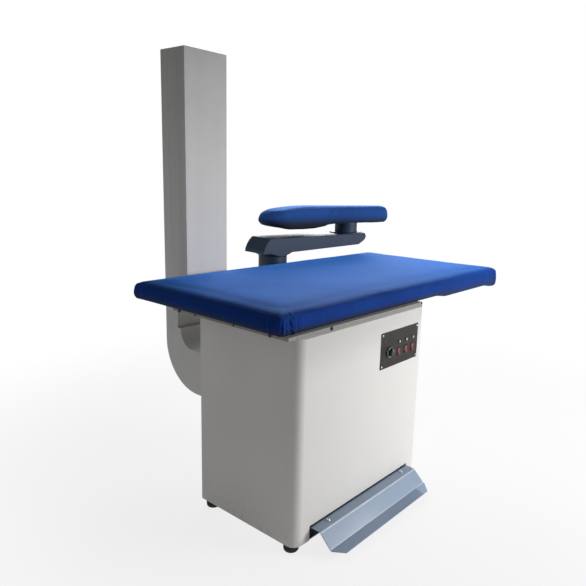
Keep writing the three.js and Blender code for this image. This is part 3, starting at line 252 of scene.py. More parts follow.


# The pedal's enamel: painted shade on the flat top and the lip, a painted highlight at the lip's right end,
# painted highlights along the folds
def pedalEnamel(name, colour):
    f = Finish(name)
    x, y, z = f.parts(f.place)
    cloud = f.speckle(9.0, 4.0).ease(0.3, 0.72)
    fleck = f.speckle(260.0, 3.0, 0.6)
    scratches = f.speckle(1.0, 4.0, 0.65, f.stretched((14, 260, 260))).ease(0.56, 0.72)
    topEdge, foldEdge, paintedGlintFrom = at(0, -41, 78), at(0, -90, 32), at(612, 0).x
    top = z.ease(topEdge.z - 0.006, topEdge.z - 0.003)
    lip = y.ease(foldEdge.y + 0.001, foldEdge.y - 0.002)
    paintedGlint = lip * x.ease(paintedGlintFrom, paintedGlintFrom + 0.010)
    tone = f.blend(cloud * 0.25, colour, shade(colour, 0.80))
    # painted shade on the flat top and the lip
    tone = f.blend(top * 0.36 + lip * 0.36, tone, shade(colour, 0.42))
    # painted highlight at the lip's right end
    tone = f.blend(paintedGlint * 0.75, tone, shade(colour, 1.35))
    # painted highlights along the two folds; the scratches mixed in with them are real wear
    upperFold, lowerFold = abs(z - (topEdge.z - 0.0035)), abs(y - foldEdge.y)
    paintedFoldHighlight = upperFold.ease(0.0024, 0.0008).most(lowerFold.ease(0.0022, 0.0007))
    tone = f.blend(paintedFoldHighlight * (0.4 + cloud * 0.4) + scratches * 0.12, tone, (0.72, 0.76, 0.80))
    normal = f.relief(fleck + f.speckle(38.0, 2.0) * 1.6, 0.16, 0.0005)
    return f.surface(Base_Color=tone, Roughness=0.34 + fleck * 0.08, Normal=normal, Coat_Weight=0.25,
                     Coat_Roughness=0.12)


# Woven cover cloth: warp and weft in the relief, slubs, a soft nap that pales at a glance, painted shade on
# the hem and the lower sides
def coverCloth(name, lit, deep, hemFoot, hemHead, paintedRimShadeAndLight=None):
    f = Finish(name)
    x, y, z = f.parts(f.place)
    facing = f.parts(f.facing)
    sideX, sideY, sideZ = (abs(part) for part in facing)
    up = facing[2]
    threadPitch = 0.0016
    warp, weft, fall = ((axis * (2 * math.pi / threadPitch)).sine() for axis in (x, y, z))
    weave = warp * weft * sideZ + warp * fall * sideY + weft * fall * sideX
    slub = f.speckle(1.0, 3.0, 0.6, f.stretched((60, 900, 900)))
    cross = f.speckle(1.0, 3.0, 0.6, f.stretched((900, 60, 900)))
    nap = f.speckle(420.0, 4.0, 0.65)
    cloud = f.speckle(4.0, 5.0, 0.55)
    creases = f.speckle(3.2, 3.0, 0.6, f.stretched((1.0, 2.2, 2.0), (0, 0, 0.5)))
    share = cloud * 0.4 + nap * 0.2 + (slub + cross) * 0.2
    tone = f.blend(share.ease(0.30, 0.70), deep, lit)
    # painted shade: darker low on the sides and on the hem, where the cloth faces down
    paintedLowShade = z.ease(hemHead, hemFoot) ** 1.6 * (0.85 + cloud * 0.3) * up.ease(0.5, 0.1)
    if paintedRimShadeAndLight:
        # painted shade on the rim at the front left, painted light on the top towards the right
        left, front, reach = paintedRimShadeAndLight
        rim = (x.ease(left + reach, left) ** 2 + y.ease(front + reach, front) ** 2) ** 0.5
        rim = rim * up.ease(0.5, 0.95) * x.ease(0.5, -0.2)
        tone = f.blend(rim.least(1.4) * 0.5, tone, shade(deep, 0.35))
        paintedLowShade = paintedLowShade * x.ease(0.05, 0.35, 1.0, 0.55)
        # painted light: the top grows paler towards the right
        paintedLightRight = x.ease(0.0, 0.62) * up.ease(0.2, 0.9)
        tone = f.blend(paintedLightRight * 0.4, tone, shade(lit, 1.9, 0.01))
    height = weave * 0.35 + slub * 0.6 + cross * 0.6 + nap * 0.5
    fine = f.relief(height, 0.25, 0.0004)
    folds = {"Height": creases, "Strength": 0.18, "Distance": 0.010, "Normal": fine}
    broad = f.node("ShaderNodeBump", inputs=folds)
    sockets = {"Base Color": tone, "Roughness": 0.72 + nap * 0.12, "Normal": broad, "Sheen Weight": 0.8,
               "Sheen Roughness": 0.36, "Sheen Tint": (0.08, 0.32, 1.0, 1), "Specular IOR Level": 0.10}
    cloth = f.node("ShaderNodeBsdfPrincipled", inputs=sockets)
    # a near-black cloth standing in for shade, mixed in by the painted shade above
    hem = f.blend(nap, (0.005, 0.008, 0.016), (0.014, 0.019, 0.034))
    edge = f.node("ShaderNodeBsdfPrincipled", inputs={"Base Color": hem, "Roughness": 0.9, "Normal": broad})
    return f.closed(f.node("ShaderNodeMixShader", inputs={0: paintedLowShade.least(1.0), 1: cloth, 2: edge}))


def zincPlate(name, colour, gloss=0.34):
    f = Finish(name)
    crystals = f.node("ShaderNodeTexVoronoi", inputs={"Vector": f.place, "Scale": 85.0})
    brushed = f.speckle(1.0, 2.0, 0.5, f.stretched((18, 420, 420)))
    stain = f.speckle(13.0, 5.0, 0.6).ease(0.4, 0.75)
    tone = f.blend(crystals * 0.5 + stain * 0.25, colour, shade(colour, 0.62))
    normal = f.relief(brushed + crystals * 0.6, 0.07, 0.0004)
    rough = gloss + stain * 0.16 + brushed * 0.06
    return f.surface(Base_Color=tone, Metallic=0.88, Roughness=rough, Normal=normal)


def moulded(name, colour, gloss, grain=900.0, tint=0.12, coat=0.0, dusty=0.10):
    f = Finish(name)
    grains = f.speckle(grain, 2.0, 0.5)
    cloud = f.speckle(22.0, 4.0).ease(0.35, 0.7)
    dust = f.speckle(190.0, 5.0, 0.7).ease(0.6, 0.78)
    tone = f.blend(cloud * tint, colour, shade(colour, 1.7, 0.012))
    tone = f.blend(dust * dusty, tone, (0.42, 0.41, 0.39))
    normal = f.relief(grains, 0.18, 0.0003)
    return f.surface(Base_Color=tone, Roughness=gloss + cloud * 0.08, Normal=normal, Coat_Weight=coat)


# Lit red rocker: the lamp behind it glows low in its middle
def litRocker(name, colour, firstX, pitch, centreZ):
    f = Finish(name)
    x, _, z = f.parts(f.place)
    across = (x - (firstX - pitch / 2)).maths("MODULO", pitch) - pitch / 2
    drop = z - (centreZ - 0.0045)
    glow = (across * across + drop * drop * 0.8) ** 0.5
    core, halo = glow.ease(0.0062, 0.0022), glow.ease(0.0125, 0.003)
    haze = f.speckle(300.0, 2.0)
    tone = f.blend(halo * 0.7, colour, (0.70, 0.06, 0.05))
    shine = f.blend(core, (0.28, 0.01, 0.01), (0.95, 0.52, 0.50))
    light = f.blend(halo * (0.85 + haze * 0.15), (0.015, 0.0005, 0.0005), shine)
    return f.surface(Base_Color=tone, Emission_Color=light, Emission_Strength=0.6,
                     Roughness=0.22 + haze * 0.1, Coat_Weight=0.4)


def needledFelt(name, colour):
    f = Finish(name)
    fibres = f.speckle(380.0, 6.0, 0.75)
    cloud = f.speckle(16.0, 4.0)
    tone = f.blend(fibres * 0.5 + cloud * 0.3, colour, shade(colour, 0.7))
    return f.surface(Base_Color=tone, Roughness=0.95, Normal=f.relief(fibres, 0.6, 0.0012), Sheen_Weight=0.2)


rockers = {"firstX": at(573, 0).x, "pitch": 0.049, "centreZ": 0.597}
finishes = {
    "cabinet_paint": powderCoat("cabinetPaint", paint((228, 226, 223)), gloss=0.42, cloudy=0.05,
                                peelScale=620.0, scuff=0.5, paintedShadeUnderTable=0.44),
    # the frame's grey is set darker than the cabinet's, as painted shade for its bars under the table's edge
    "frame_paint": powderCoat("framePaint", paint((150, 148, 143)), gloss=0.5, cloudy=0.12,
                              peelScale=520.0, scuff=0.3),
    "duct_paint": ductSheet("ductPaint", paint((226, 225, 223))),
    "arm_paint": enamel("armEnamel", paint((28, 53, 80)), 0.5),
    "pedal_paint": pedalEnamel("pedalEnamel", paint((139, 159, 184))),
    "zinc_sheet": zincPlate("zincPlate", (0.56, 0.57, 0.58)),
    "bright_steel": zincPlate("brightSteel", (0.68, 0.69, 0.70), gloss=0.22),
    # the table cloth has painted shade at its hem and front left rim, and painted light on its top towards
    # the right
    "blue_fabric": coverCloth("tableCloth", paint((14, 62, 146)), paint((9, 44, 114)), hemFoot=0.760,
                              hemHead=0.800, paintedRimShadeAndLight=(-0.84, -0.44, 0.17)),
    "felt": needledFelt("needledFelt", (0.70, 0.67, 0.60)),
    "rubber": moulded("blackRubber", (0.016, 0.016, 0.017), 0.72, grain=500.0),
    "black_plastic": moulded("blackPlastic", (0.018, 0.017, 0.017), 0.42),
    "panel_paint": moulded("panelPaint", paint((17, 11, 8)), 0.58, grain=650.0, tint=0.1, dusty=0.02),
    "red_plastic": litRocker("litRocker", (0.20, 0.008, 0.008), **rockers),
    "lamp_plastic": moulded("lampLens", (0.80, 0.77, 0.70), 0.18, grain=300.0, tint=0.1, coat=0.6),
    "bush_plastic": moulded("bushPlastic", (0.020, 0.022, 0.024), 0.45),
    "motor_casting": moulded("motorCasting", (0.10, 0.115, 0.12), 0.5, grain=260.0, tint=0.4),
}
for name, node in frame["nodes"].items():
    node.data.materials.clear()
    node.data.materials.append(finishes[slotOf[name]])
print("finishes made:", len(finishes))


# Stage: pale floor, white surroundings, soft lamps
def litShader(f, colour, strength):
    return f.node("ShaderNodeEmission", inputs={"Color": (*colour, 1), "Strength": strength})


def makeFloor():
    f = Finish("paleFloor")
    grain = f.speckle(40.0, 3.0)
    seen = f.node("ShaderNodeLightPath", output="Is Camera Ray")
    mirrored = f.node("ShaderNodeLightPath", output="Is Glossy Ray")
    tone = f.blend(grain * 0.05, (0.80, 0.80, 0.80), (0.74, 0.74, 0.74))
    matt = f.node("ShaderNodeBsdfDiffuse", inputs={"Color": tone})
    away = f.node("ShaderNodeVectorMath", {"operation": "LENGTH"}, {0: f.place}, output="Value")
    share = (seen + mirrored).least(1.0) * away.ease(0.9, 2.4, 0.80, 1.0)
    mixed = f.node("ShaderNodeMixShader", inputs={0: share, 1: matt, 2: litShader(f, (1, 1, 1), 1.0)})
    f.closed(mixed)
    mesh = bpy.data.meshes.new("floor")
    half, depth = 25, -0.0004
    square = [(-half, -half, depth), (half, -half, depth), (half, half, depth), (-half, half, depth)]
    mesh.from_pydata(square, [], [(0, 1, 2, 3)])
    mesh.materials.append(f.material)
    floor = bpy.data.objects.new("floor", mesh)
    scene.collection.objects.link(floor)


def makeWorld(strength):
    world = bpy.data.worlds.new("studio")
    world.use_nodes = True
    scene.world = world
    tree = world.node_tree
    tree.nodes.clear()
    path = tree.nodes.new("ShaderNodeLightPath")
    room, white = (tree.nodes.new("ShaderNodeBackground") for _ in range(2))
    for background in (room, white):
        background.inputs[0].default_value = (1, 1, 1, 1)
    room.inputs[1].default_value = strength
    either = tree.nodes.new("ShaderNodeMath")
    either.operation = "ADD"
    either.use_clamp = True
    for number, ray in enumerate(("Is Camera Ray", "Is Transmission Ray")):
        tree.links.new(path.outputs[ray], either.inputs[number])
    mix = tree.nodes.new("ShaderNodeMixShader")
    for number, source in enumerate((either, room, white)):
        tree.links.new(source.outputs[0], mix.inputs[number])
    tree.links.new(mix.outputs[0], tree.nodes.new("ShaderNodeOutputWorld").inputs[0])


def makeLamp(name, place, target, size, power, spread):
    data = bpy.data.lights.new(name, "AREA")
    data.shape = "RECTANGLE"
    data.spread = math.radians(spread)
    data.size, data.size_y = size
    data.energy = power
    lamp = bpy.data.objects.new(name, data)
    lamp.location = place
    lamp.rotation_euler = (Vector(target) - Vector(place)).to_track_quat("-Z", "Y").to_euler()
    scene.collection.objects.link(lamp)


lamplight = {
    "key": {"place": (1.5, -3.1, 1.55), "target": (0.05, 0.0, 0.10), "size": (2.0, 1.2), "power": 30,
            "spread": 95},
    "window": {"place": (2.0, 1.5, 1.85), "target": (0.1, 0.0, 0.8), "size": (1.6, 1.2), "power": 41,
               "spread": 140},
}
makeFloor()
makeWorld(strength=0.22)
for name, values in lamplight.items():
    makeLamp(name, **values)
print("stage made")


# Meshes
def settle(piece):
    # what the modifiers make becomes the piece's own mesh
    graph = bpy.context.evaluated_depsgraph_get()
    graph.update()
    made = piece.evaluated_get(graph)
    mesh = bpy.data.meshes.new_from_object(made, preserve_all_data_layers=True, depsgraph=graph)
    piece.modifiers.clear()
    piece.data = mesh
    return piece


def newPiece(name, mesh, finish):
    mesh.materials.clear()
    mesh.materials.append(finish)
    piece = bpy.data.objects.new(name, mesh)
    scene.collection.objects.link(piece)
    return piece


def placeOn(piece, body, slotName, *nodes):
    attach(piece, body)
    if nodes:
        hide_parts(*nodes)
    return piece


def reworked(mesh, work):
    shape = bmesh.new()
    shape.from_mesh(mesh)
    work(shape)
    shape.to_mesh(mesh)
    shape.free()
    return mesh


def softEdges(mesh, angle):
    mesh.shade_smooth()
    mesh.set_sharp_from_angle(angle=math.radians(angle))


def refined(node, width, angle):
    # the CAD node's own shape with its edges eased
    mesh = reworked(frame["nodes"][node].data.copy(),
                    lambda shape: bmesh.ops.remove_doubles(shape, verts=shape.verts, dist=0.00002))
    piece = newPiece(node + "_eased", mesh, finishes[slotOf[node]])
    bevel = piece.modifiers.new("edges", "BEVEL")
    bevel.width = width
    bevel.segments = 2
    bevel.limit_method = "ANGLE"
    bevel.angle_limit = math.radians(angle)
    bevel.miter_outer = "MITER_ARC"
    softEdges(mesh, angle)
    weigh = piece.modifiers.new("normals", "WEIGHTED_NORMAL")
    weigh.keep_sharp = True
    settle(piece)
    return placeOn(piece, bodyOf[node], slotOf[node], node)


# Soft covers
def roundOutline(corners, inset, side, bend):
    # corners: (x, y, radius) anticlockwise; the same number of points for every inset
    tightest = 8.0
    count = len(corners)
    moved = []
    for i in range(count):
        a, b, c = (np.array(corners[(i + k) % count][:2], float) for k in (-1, 0, 1))
        first, second = (b - a) / np.linalg.norm(b - a), (c - b) / np.linalg.norm(c - b)
        inOne, inTwo = np.array((-first[1], first[0])), np.array((-second[1], second[0]))
        moved.append(np.linalg.solve(np.array((inOne, inTwo)), (inOne @ b + inset, inTwo @ b + inset)))
    bends = []
    for i in range(count):
        a, b, c = (moved[(i + k) % count] for k in (-1, 0, 1))
        radius = max(corners[i][2] - inset, tightest)
        first, second = (b - a) / np.linalg.norm(b - a), (c - b) / np.linalg.norm(c - b)
        turn = math.acos(max(-1, min(1, first @ second)))
        cut = radius * math.tan(turn / 2)
        start = b - first * cut
        centre = start + np.array((-first[1], first[0])) * radius
        zero = math.atan2(*(start - centre)[::-1])
        angles = [zero + turn * k / bend for k in range(bend + 1)]
        arc = [centre + radius * np.array((math.cos(angle), math.sin(angle))) for angle in angles]
        bends.append((arc, start, b + second * cut))
    outline = []
    for i, (arc, _, leaves) in enumerate(bends):
        arrives = bends[(i + 1) % count][1]
        outline += arc + [leaves + (arrives - leaves) * k / side for k in range(1, side)]
    return np.array(outline)


def stackedRings(name, rings):
    # rings of points from underneath to the top, closed with a face at each end
    count = len(rings[0])
    faces = [tuple(range(count))[::-1], tuple(range(count * (len(rings) - 1), count * len(rings)))]
    for k in range(len(rings) - 1):
        for i in range(count):
            j = (i + 1) % count
            faces.append((k * count + i, k * count + j, (k + 1) * count + j, (k + 1) * count + i))
    mesh = bpy.data.meshes.new(name)
    mesh.from_pydata([tuple(p) for ring in rings for p in ring], [], faces)
    return mesh


def points(mesh):
    found = np.zeros(len(mesh.vertices) * 3, np.float32)
    mesh.vertices.foreach_get("co", found)
    return found.reshape(-1, 3).astype(float)


def onDrawing(place):
    # metres in the row frame to millimetres from the cabinet's corner
    return np.stack(((place[:, 0] - corner.x) * 1000, (place[:, 1] - corner.y) * 1000, place[:, 2] * 1000), 1)


def offDrawing(mm):
    return np.stack((mm[:, 0] / 1000 + corner.x, mm[:, 1] / 1000 + corner.y, mm[:, 2] / 1000), 1)


def setPoints(mesh, found):
    mesh.vertices.foreach_set("co", np.asarray(found, np.float32).ravel())
    mesh.update()


def ease(value, low, high):
    share = np.clip((value - low) / (high - low), 0, 1)
    return share * share * (3 - 2 * share)


def remeshed(piece, voxel):
    piece.data.remesh_voxel_size = voxel
    for other in bpy.context.selected_objects:
        other.select_set(False)
    piece.select_set(True)
    bpy.context.view_layer.objects.active = piece
    bpy.ops.object.voxel_remesh()


def calmed(mesh, moved, rounds):
    # evens out a movement over the neighbours, so that it leaves no steps
    pairs = np.zeros(len(mesh.edges) * 2, np.int32)
    mesh.edges.foreach_get("vertices", pairs)
    one, two = pairs.reshape(-1, 2).T
    count = np.bincount(pairs, minlength=len(moved))[:, None] + 1
    for _ in range(rounds):
        total = moved.copy()
        np.add.at(total, one, moved[two])
        np.add.at(total, two, moved[one])
        moved = total / count
    return moved


def puffed(piece, cloth, held):
    # blows the cover up a little against its held underside; held is a share for each point
    start = points(piece.data)
    group = piece.vertex_groups.new(name="held")
    for i in np.nonzero(held > 0)[0]:
        group.add([int(i)], float(held[i]), "REPLACE")
    sim = piece.modifiers.new("cloth", "CLOTH")
    sim.settings.use_pressure = True
    sim.settings.uniform_pressure_force = cloth["pressure"]
    sim.settings.effector_weights.gravity = 0
    sim.settings.mass = cloth["mass"]
    sim.settings.quality = cloth["quality"]
    sim.settings.tension_stiffness = cloth["stiff"]
    sim.settings.compression_stiffness = cloth["stiff"]
    sim.settings.bending_stiffness = cloth["bend"]
    sim.settings.shrink_min = cloth["shrink"]
    sim.settings.vertex_group_mass = "held"
    sim.point_cache.frame_start = 1
    sim.point_cache.frame_end = cloth["frames"]
    for step in range(1, cloth["frames"] + 1):
        scene.frame_set(step)
    graph = bpy.context.evaluated_depsgraph_get()
    made = piece.evaluated_get(graph).to_mesh()
    moved = points(made) - start
    piece.evaluated_get(graph).to_mesh_clear()
    piece.modifiers.clear()
    scene.frame_set(1)
    moved = calmed(piece.data, moved, cloth["calm"])
    far = np.linalg.norm(moved, axis=1, keepdims=True)
    moved *= np.minimum(1, cloth["most"] / np.maximum(far, 1e-9))
    setPoints(piece.data, start + moved)
    mean = float(np.linalg.norm(moved, axis=1).mean()) * 1000
    print("puffed", piece.name, "by a mean of", round(mean, 2), "mm")


def subdivided(piece):
    finer = piece.modifiers.new("finer", "SUBSURF")
    finer.levels = finer.render_levels = 1
    settle(piece)


def finerNear(piece, place, reach):
    # more points where the gathers are narrow
    def divide(shape):
        close = [e for e in shape.edges if all((v.co - place).length < reach for v in e.verts)]
        bmesh.ops.subdivide_edges(shape, edges=close, cuts=2, smooth=0.4, use_grid_fill=True)

    reworked(piece.data, divide)


# Table cover: a full round edge, gathers at the corners, a hem turned under the tray.
# under and over: (inset, height) to and from the widest line; a pair such as hem: where something eases in;
# bulge: axis, how far, where; hollows: x, z, stretch, size, depth
tableCover = {
    "corners": [(-46, 33, 24), (1524, 33, 26), (1488, 837, 24), (-46, 837, 24)],
    "under": [(60, 761.2), (30, 761.0), (7, 761.4), (2, 766)],
    "over": [(0, 776), (0, 786), (1.5, 796), (5, 805), (10, 813), (15, 819), (20, 823.2), (25, 826),
             (32, 828.4), (42, 830.4), (56, 832.2), (75, 833.6), (100, 834.6), (140, 835.3), (200, 835.8),
             (300, 836)],
    "liftFrom": 800,
    "voxel": 0.0115,
    "held": (763, 790),
    "cloth": {"pressure": 2.6, "mass": 0.3, "quality": 6, "stiff": 12, "bend": 0.6, "shrink": -0.004,
              "frames": 18, "most": 0.0035, "calm": 40},
    "tray": (-37, 1491, 46, 824),
    "room": 4.6,
    "roomHeight": (763.2, 822),
    "lid": 823.8,
    "lidFrom": 814,
    "lidInset": 12,
    "opening": 50,
    "openingBelow": 772,
    "hem": (812, 766),
    "foot": 760,
    "thick": 76,
    "bulge": [(0, -8, (20, -40)), (1, -3, (90, 40)), (1, 3, (780, 830))],
    "stitch": (-8, 40, 800),
    "fan": [((8, 770), (-36, 826)), ((7, 770), (1, 838)), ((15, 782), (21, 824)), ((-2, 770), (-44, 800))],
    "hollows": [(-14, 800, 1, 12, 3.5), (23, 793, 2, 5, 2.0)],
    "sag": 12,
    "sagFrom": (912, 1020),
    "tip": (1495, 40),
    "tipDrop": 12,
    "tipDropReach": (110, 8),
    "tipBulge": 19,
    "tipBulgeReach": (130, 15),
    "slack": 1.8,
    "ripple": 2.2,
}


def makeTableCover():
    t = tableCover
    rings = []
    for inset, height in t["under"] + t["over"]:
        rings.append([at(x, y, height) for x, y in roundOutline(t["corners"], inset, side=40, bend=9)])
    piece = newPiece("table_cover_cloth", stackedRings("tableCover", rings), finishes["blue_fabric"])
    remeshed(piece, t["voxel"])
    held = 1 - ease(points(piece.data)[:, 2] * 1000, *t["held"])
    puffed(piece, t["cloth"], held)
    subdivided(piece)
    finerNear(piece, at(*t["stitch"]), reach=0.066)
    tableForm(piece)
    openUnderside(piece, t["opening"], t["openingBelow"] / 1000, t["corners"])
    wall = piece.modifiers.new("thickness", "SOLIDIFY")
    wall.thickness = 0.003
    wall.offset = -1
    settle(piece)
    softEdges(piece.data, 70)
    placeOn(piece, "frame", "blue_fabric", "table_cover")


def insetOf(mm, corners):
    # how far each point lies inside the cover's outline
    (left, front, bend), (rightFront, _, _), (rightBack, back, _) = corners[:3]
    right = rightFront + (rightBack - rightFront) * (mm[:, 1] - front) / (back - front)
    fromX = np.minimum(mm[:, 0] - left, right - mm[:, 0])
    fromY = np.minimum(mm[:, 1] - front, back - mm[:, 1])
    cornered = bend - np.hypot(np.maximum(bend - fromX, 0), np.maximum(bend - fromY, 0))
    return np.where((fromX < bend) & (fromY < bend), cornered, np.minimum(fromX, fromY))


def tableForm(piece):
    t = tableCover
    mm = onDrawing(points(piece.data))
    # the remesh cuts the rounded edge short: this brings it back to its profile
    insets, heights = np.array(t["over"], float).T
    full = np.interp(insetOf(mm, t["corners"]), insets, heights)
    upper = (mm[:, 2] > t["liftFrom"]) & (full > mm[:, 2])
    mm[upper, 2] = full[upper]
    # full ends, a hem that drops past the frame, a hanging tip at the front right
    low = ease(mm[:, 2], *t["hem"])
    belly = np.sin(np.pi * np.clip((mm[:, 2] - t["foot"]) / t["thick"], 0, 1)) ** 0.8
    for axis, far, along in t["bulge"]:
        mm[:, axis] += far * belly * ease(mm[:, axis], *along)
    mm[:, 2] -= t["sag"] * ease(mm[:, 0], *t["sagFrom"]) * low
    tip = np.hypot(mm[:, 0] - t["tip"][0], mm[:, 1] - t["tip"][1])
    mm[:, 2] -= t["tipDrop"] * low * ease(tip, *t["tipDropReach"])
    mm[:, 0] += t["tipBulge"] * belly * ease(tip, *t["tipBulgeReach"])
    cornerPleats(mm, t["corners"])
    frontFan(mm, t["fan"], t["hollows"])
    # slack on top, ripples along the front and left
    slack = np.array([noise.noise(Vector((a * 0.0042, b * 0.0055, 0.3))) for a, b in mm[:, :2]])
    ripple = np.array([noise.noise(Vector((a * 0.012, b * 0.012, c * 0.02))) for a, b, c in mm])
    mm[:, 2] += slack * t["slack"] * ease(mm[:, 2], 800, 832)
    mm[:, 1] += ripple * t["ripple"] * ease(mm[:, 1], 100, 40) * belly
    mm[:, 0] += ripple * t["ripple"] * ease(mm[:, 0], 30, -40) * belly
    keepClear(mm, t)
    setPoints(piece.data, offDrawing(mm))


def cornerPleats(mm, corners):
    # fine and broad folds that run out from a point inside each corner
    inward = 110
    fineCount, fineRise, broadCount, broadRise = 40, 1.9, 21, 1.3
    for k, (x, y, _) in enumerate(corners):
        middleX, middleY = x + (inward if x < 700 else -inward), y + (inward if y < 400 else -inward)
        away = np.hypot(mm[:, 0] - x, mm[:, 1] - y)
        bearing = np.arctan2(mm[:, 1] - middleY, mm[:, 0] - middleX)
        share = ease(mm[:, 2], 837, 806) * ease(away, 120, 25)
        pleat = np.sin(bearing * fineCount + 2.5 * np.sin(bearing * 11 + k)) * fineRise
        pleat += np.sin(bearing * broadCount + k * 2) * broadRise
        side = np.stack((np.cos(bearing), np.sin(bearing)), 1)
        mm[:, :2] += side * (pleat * share)[:, None]
        mm[:, 2] += pleat * 0.5 * share * (mm[:, 2] > 818)


def frontFan(mm, lines, hollows):
    # gathers that spread from one stitch at the front left corner, with a hollow either side
    nearFront = ease(mm[:, 1], 75, 45)
    width, rise = 2.6, 4.2
    fan = np.zeros(len(mm))
    for (footX, footZ), (tipX, tipZ) in lines:
        along = np.array((tipX - footX, tipZ - footZ), float)
        onLine = (mm[:, 0] - footX) * along[0] + (mm[:, 2] - footZ) * along[1]
        share = np.clip(onLine / (along @ along), 0, 1)
        off = np.hypot(mm[:, 0] - footX - along[0] * share, mm[:, 2] - footZ - along[1] * share)
        fan += np.exp(-(off / (width + 2 * share)) ** 2) * rise * (1 - 0.75 * share)
    for x, z, stretch, size, depth in hollows:
        fan -= np.exp(-(np.hypot(mm[:, 0] - x, (mm[:, 2] - z) / stretch) / size) ** 2) * depth
    mm[:, 1] -= fan * nearFront
    mm[:, 0] -= fan * nearFront * ease(mm[:, 0], -15, -45) * 0.8


def keepClear(mm, t):
    # room beside the tray, going to nothing at its top, and over the pad
    left, right, front, back = t["tray"]
    foot, top = t["roomHeight"]
    room = t["room"] * np.clip((top - mm[:, 2]) / 9, 0, 1)
    beside = (mm[:, 2] > foot) & (mm[:, 2] < top)
    walls = ((0, left - room), (0, right + room), (1, front - room), (1, back + room))
    gaps = np.stack([(mm[:, axis] - value) * (-1 if k % 2 else 1) for k, (axis, value) in enumerate(walls)])
    nearest = gaps.argmin(0)
    inside = beside & (gaps.min(0) > 0)
    for side, (axis, value) in enumerate(walls):
        pressed = inside & (nearest == side)
        mm[pressed, axis] = value[pressed]
    past = gaps.min(0) - t["lidInset"]
    lid = t["lid"] + 0.3 * np.clip(past, 0, 8)
    sunk = (mm[:, 2] >= t["lidFrom"]) & (past > 0) & (mm[:, 2] < lid)
    mm[sunk, 2] = lid[sunk]


def openUnderside(piece, inset, below, corners):
    # takes the middle of the underside away, up to an even line inside the edge
    edge = roundOutline(corners, inset, side=60, bend=9)
    xs, ys = edge[:, 0] / 1000 + corner.x, edge[:, 1] / 1000 + corner.y

    def inside(x, y):
        crossing = (ys > y) != (np.roll(ys, 1) > y)
        cut = (np.roll(xs, 1) - xs) * (y - ys) / (np.roll(ys, 1) - ys + 1e-12) + xs
        return bool(np.count_nonzero(crossing & (x < cut)) % 2)

    def cutOut(shape):
        middles = {f: f.calc_center_median() for f in shape.faces if f.normal.z < -0.4}
        gone = [f for f, middle in middles.items() if middle.z < below and inside(*middle[:2])]
        bmesh.ops.delete(shape, geom=gone, context="FACES")
        for v in {v for e in shape.edges if e.is_boundary for v in e.verts}:
            near = np.argmin((xs - v.co.x) ** 2 + (ys - v.co.y) ** 2)
            v.co.x, v.co.y = xs[near] * 0.7 + v.co.x * 0.3, ys[near] * 0.7 + v.co.y * 0.3

    reworked(piece.data, cutOut)


makeTableCover()

# Buck cover: a long pad with a broad round nose on the left, its loose hem hanging there
# painted shade low on the buck cover's sides and hem
buckCloth = coverCloth("buckCloth", paint((48, 98, 178)), paint((34, 72, 140)), 0.996, 1.074)
buckCover = {
    "post": (1338.75, 876.05),
    "turn": -12.0,
    "left": (-460, 102),
    "right": (235, 63),
    "profile": [(54, 1001), (34, 1000), (15, 1003), (6, 1012), (1, 1024), (0, 1036), (1.5, 1054), (4.5, 1066),
                (8.5, 1076), (13.5, 1082.5), (20, 1086.3), (28, 1088.6), (40, 1090.4), (56, 1091.5)],
    "crown": (1000, 1080),
    "nose": 34,
    "noseFrom": -255,
    "sag": 23,
    "sagFrom": (-120, -285),
    "folds": [(-215, 13, 5), (-180, 16, -4)],
    "foldsEnd": (1055, 1085),
    "voxel": 0.0065,
    "held": (1001, 1022),
    "cloth": {"pressure": 3.5, "mass": 0.3, "quality": 6, "stiff": 12, "bend": 0.5, "shrink": -0.004,
              "frames": 18, "most": 0.0035, "calm": 6},
}


def buckRings(t, ahead, side):
    (leftS, leftR), (rightS, rightR) = t["left"], t["right"]
    lean = math.asin((leftR - rightR) / (rightS - leftS))
    ends = ((rightS, rightR, -math.pi / 2 + lean, math.pi / 2 - lean),
            (leftS, leftR, math.pi / 2 - lean, math.pi * 1.5 + lean))
    inBend, inSide = 25, 30  # points
    rings = []
    for inset, height in t["profile"]:
        ring = []
        for centre, radius, start, end in ends:
            r = radius - inset
            ring += [(centre + r * math.cos(a), r * math.sin(a)) for a in np.linspace(start, end, inBend)]
        placed = []
        for k, (a, b) in enumerate(zip(ring, ring[1:] + ring[:1])):
            steps = inSide if (k + 1) % inBend == 0 else 1
            for m in range(steps):
                s, w = a[0] + (b[0] - a[0]) * m / steps, a[1] + (b[1] - a[1]) * m / steps
                placed.append(at(*(np.array(t["post"]) + ahead * s + side * w), height))
        rings.append(placed)
    return rings


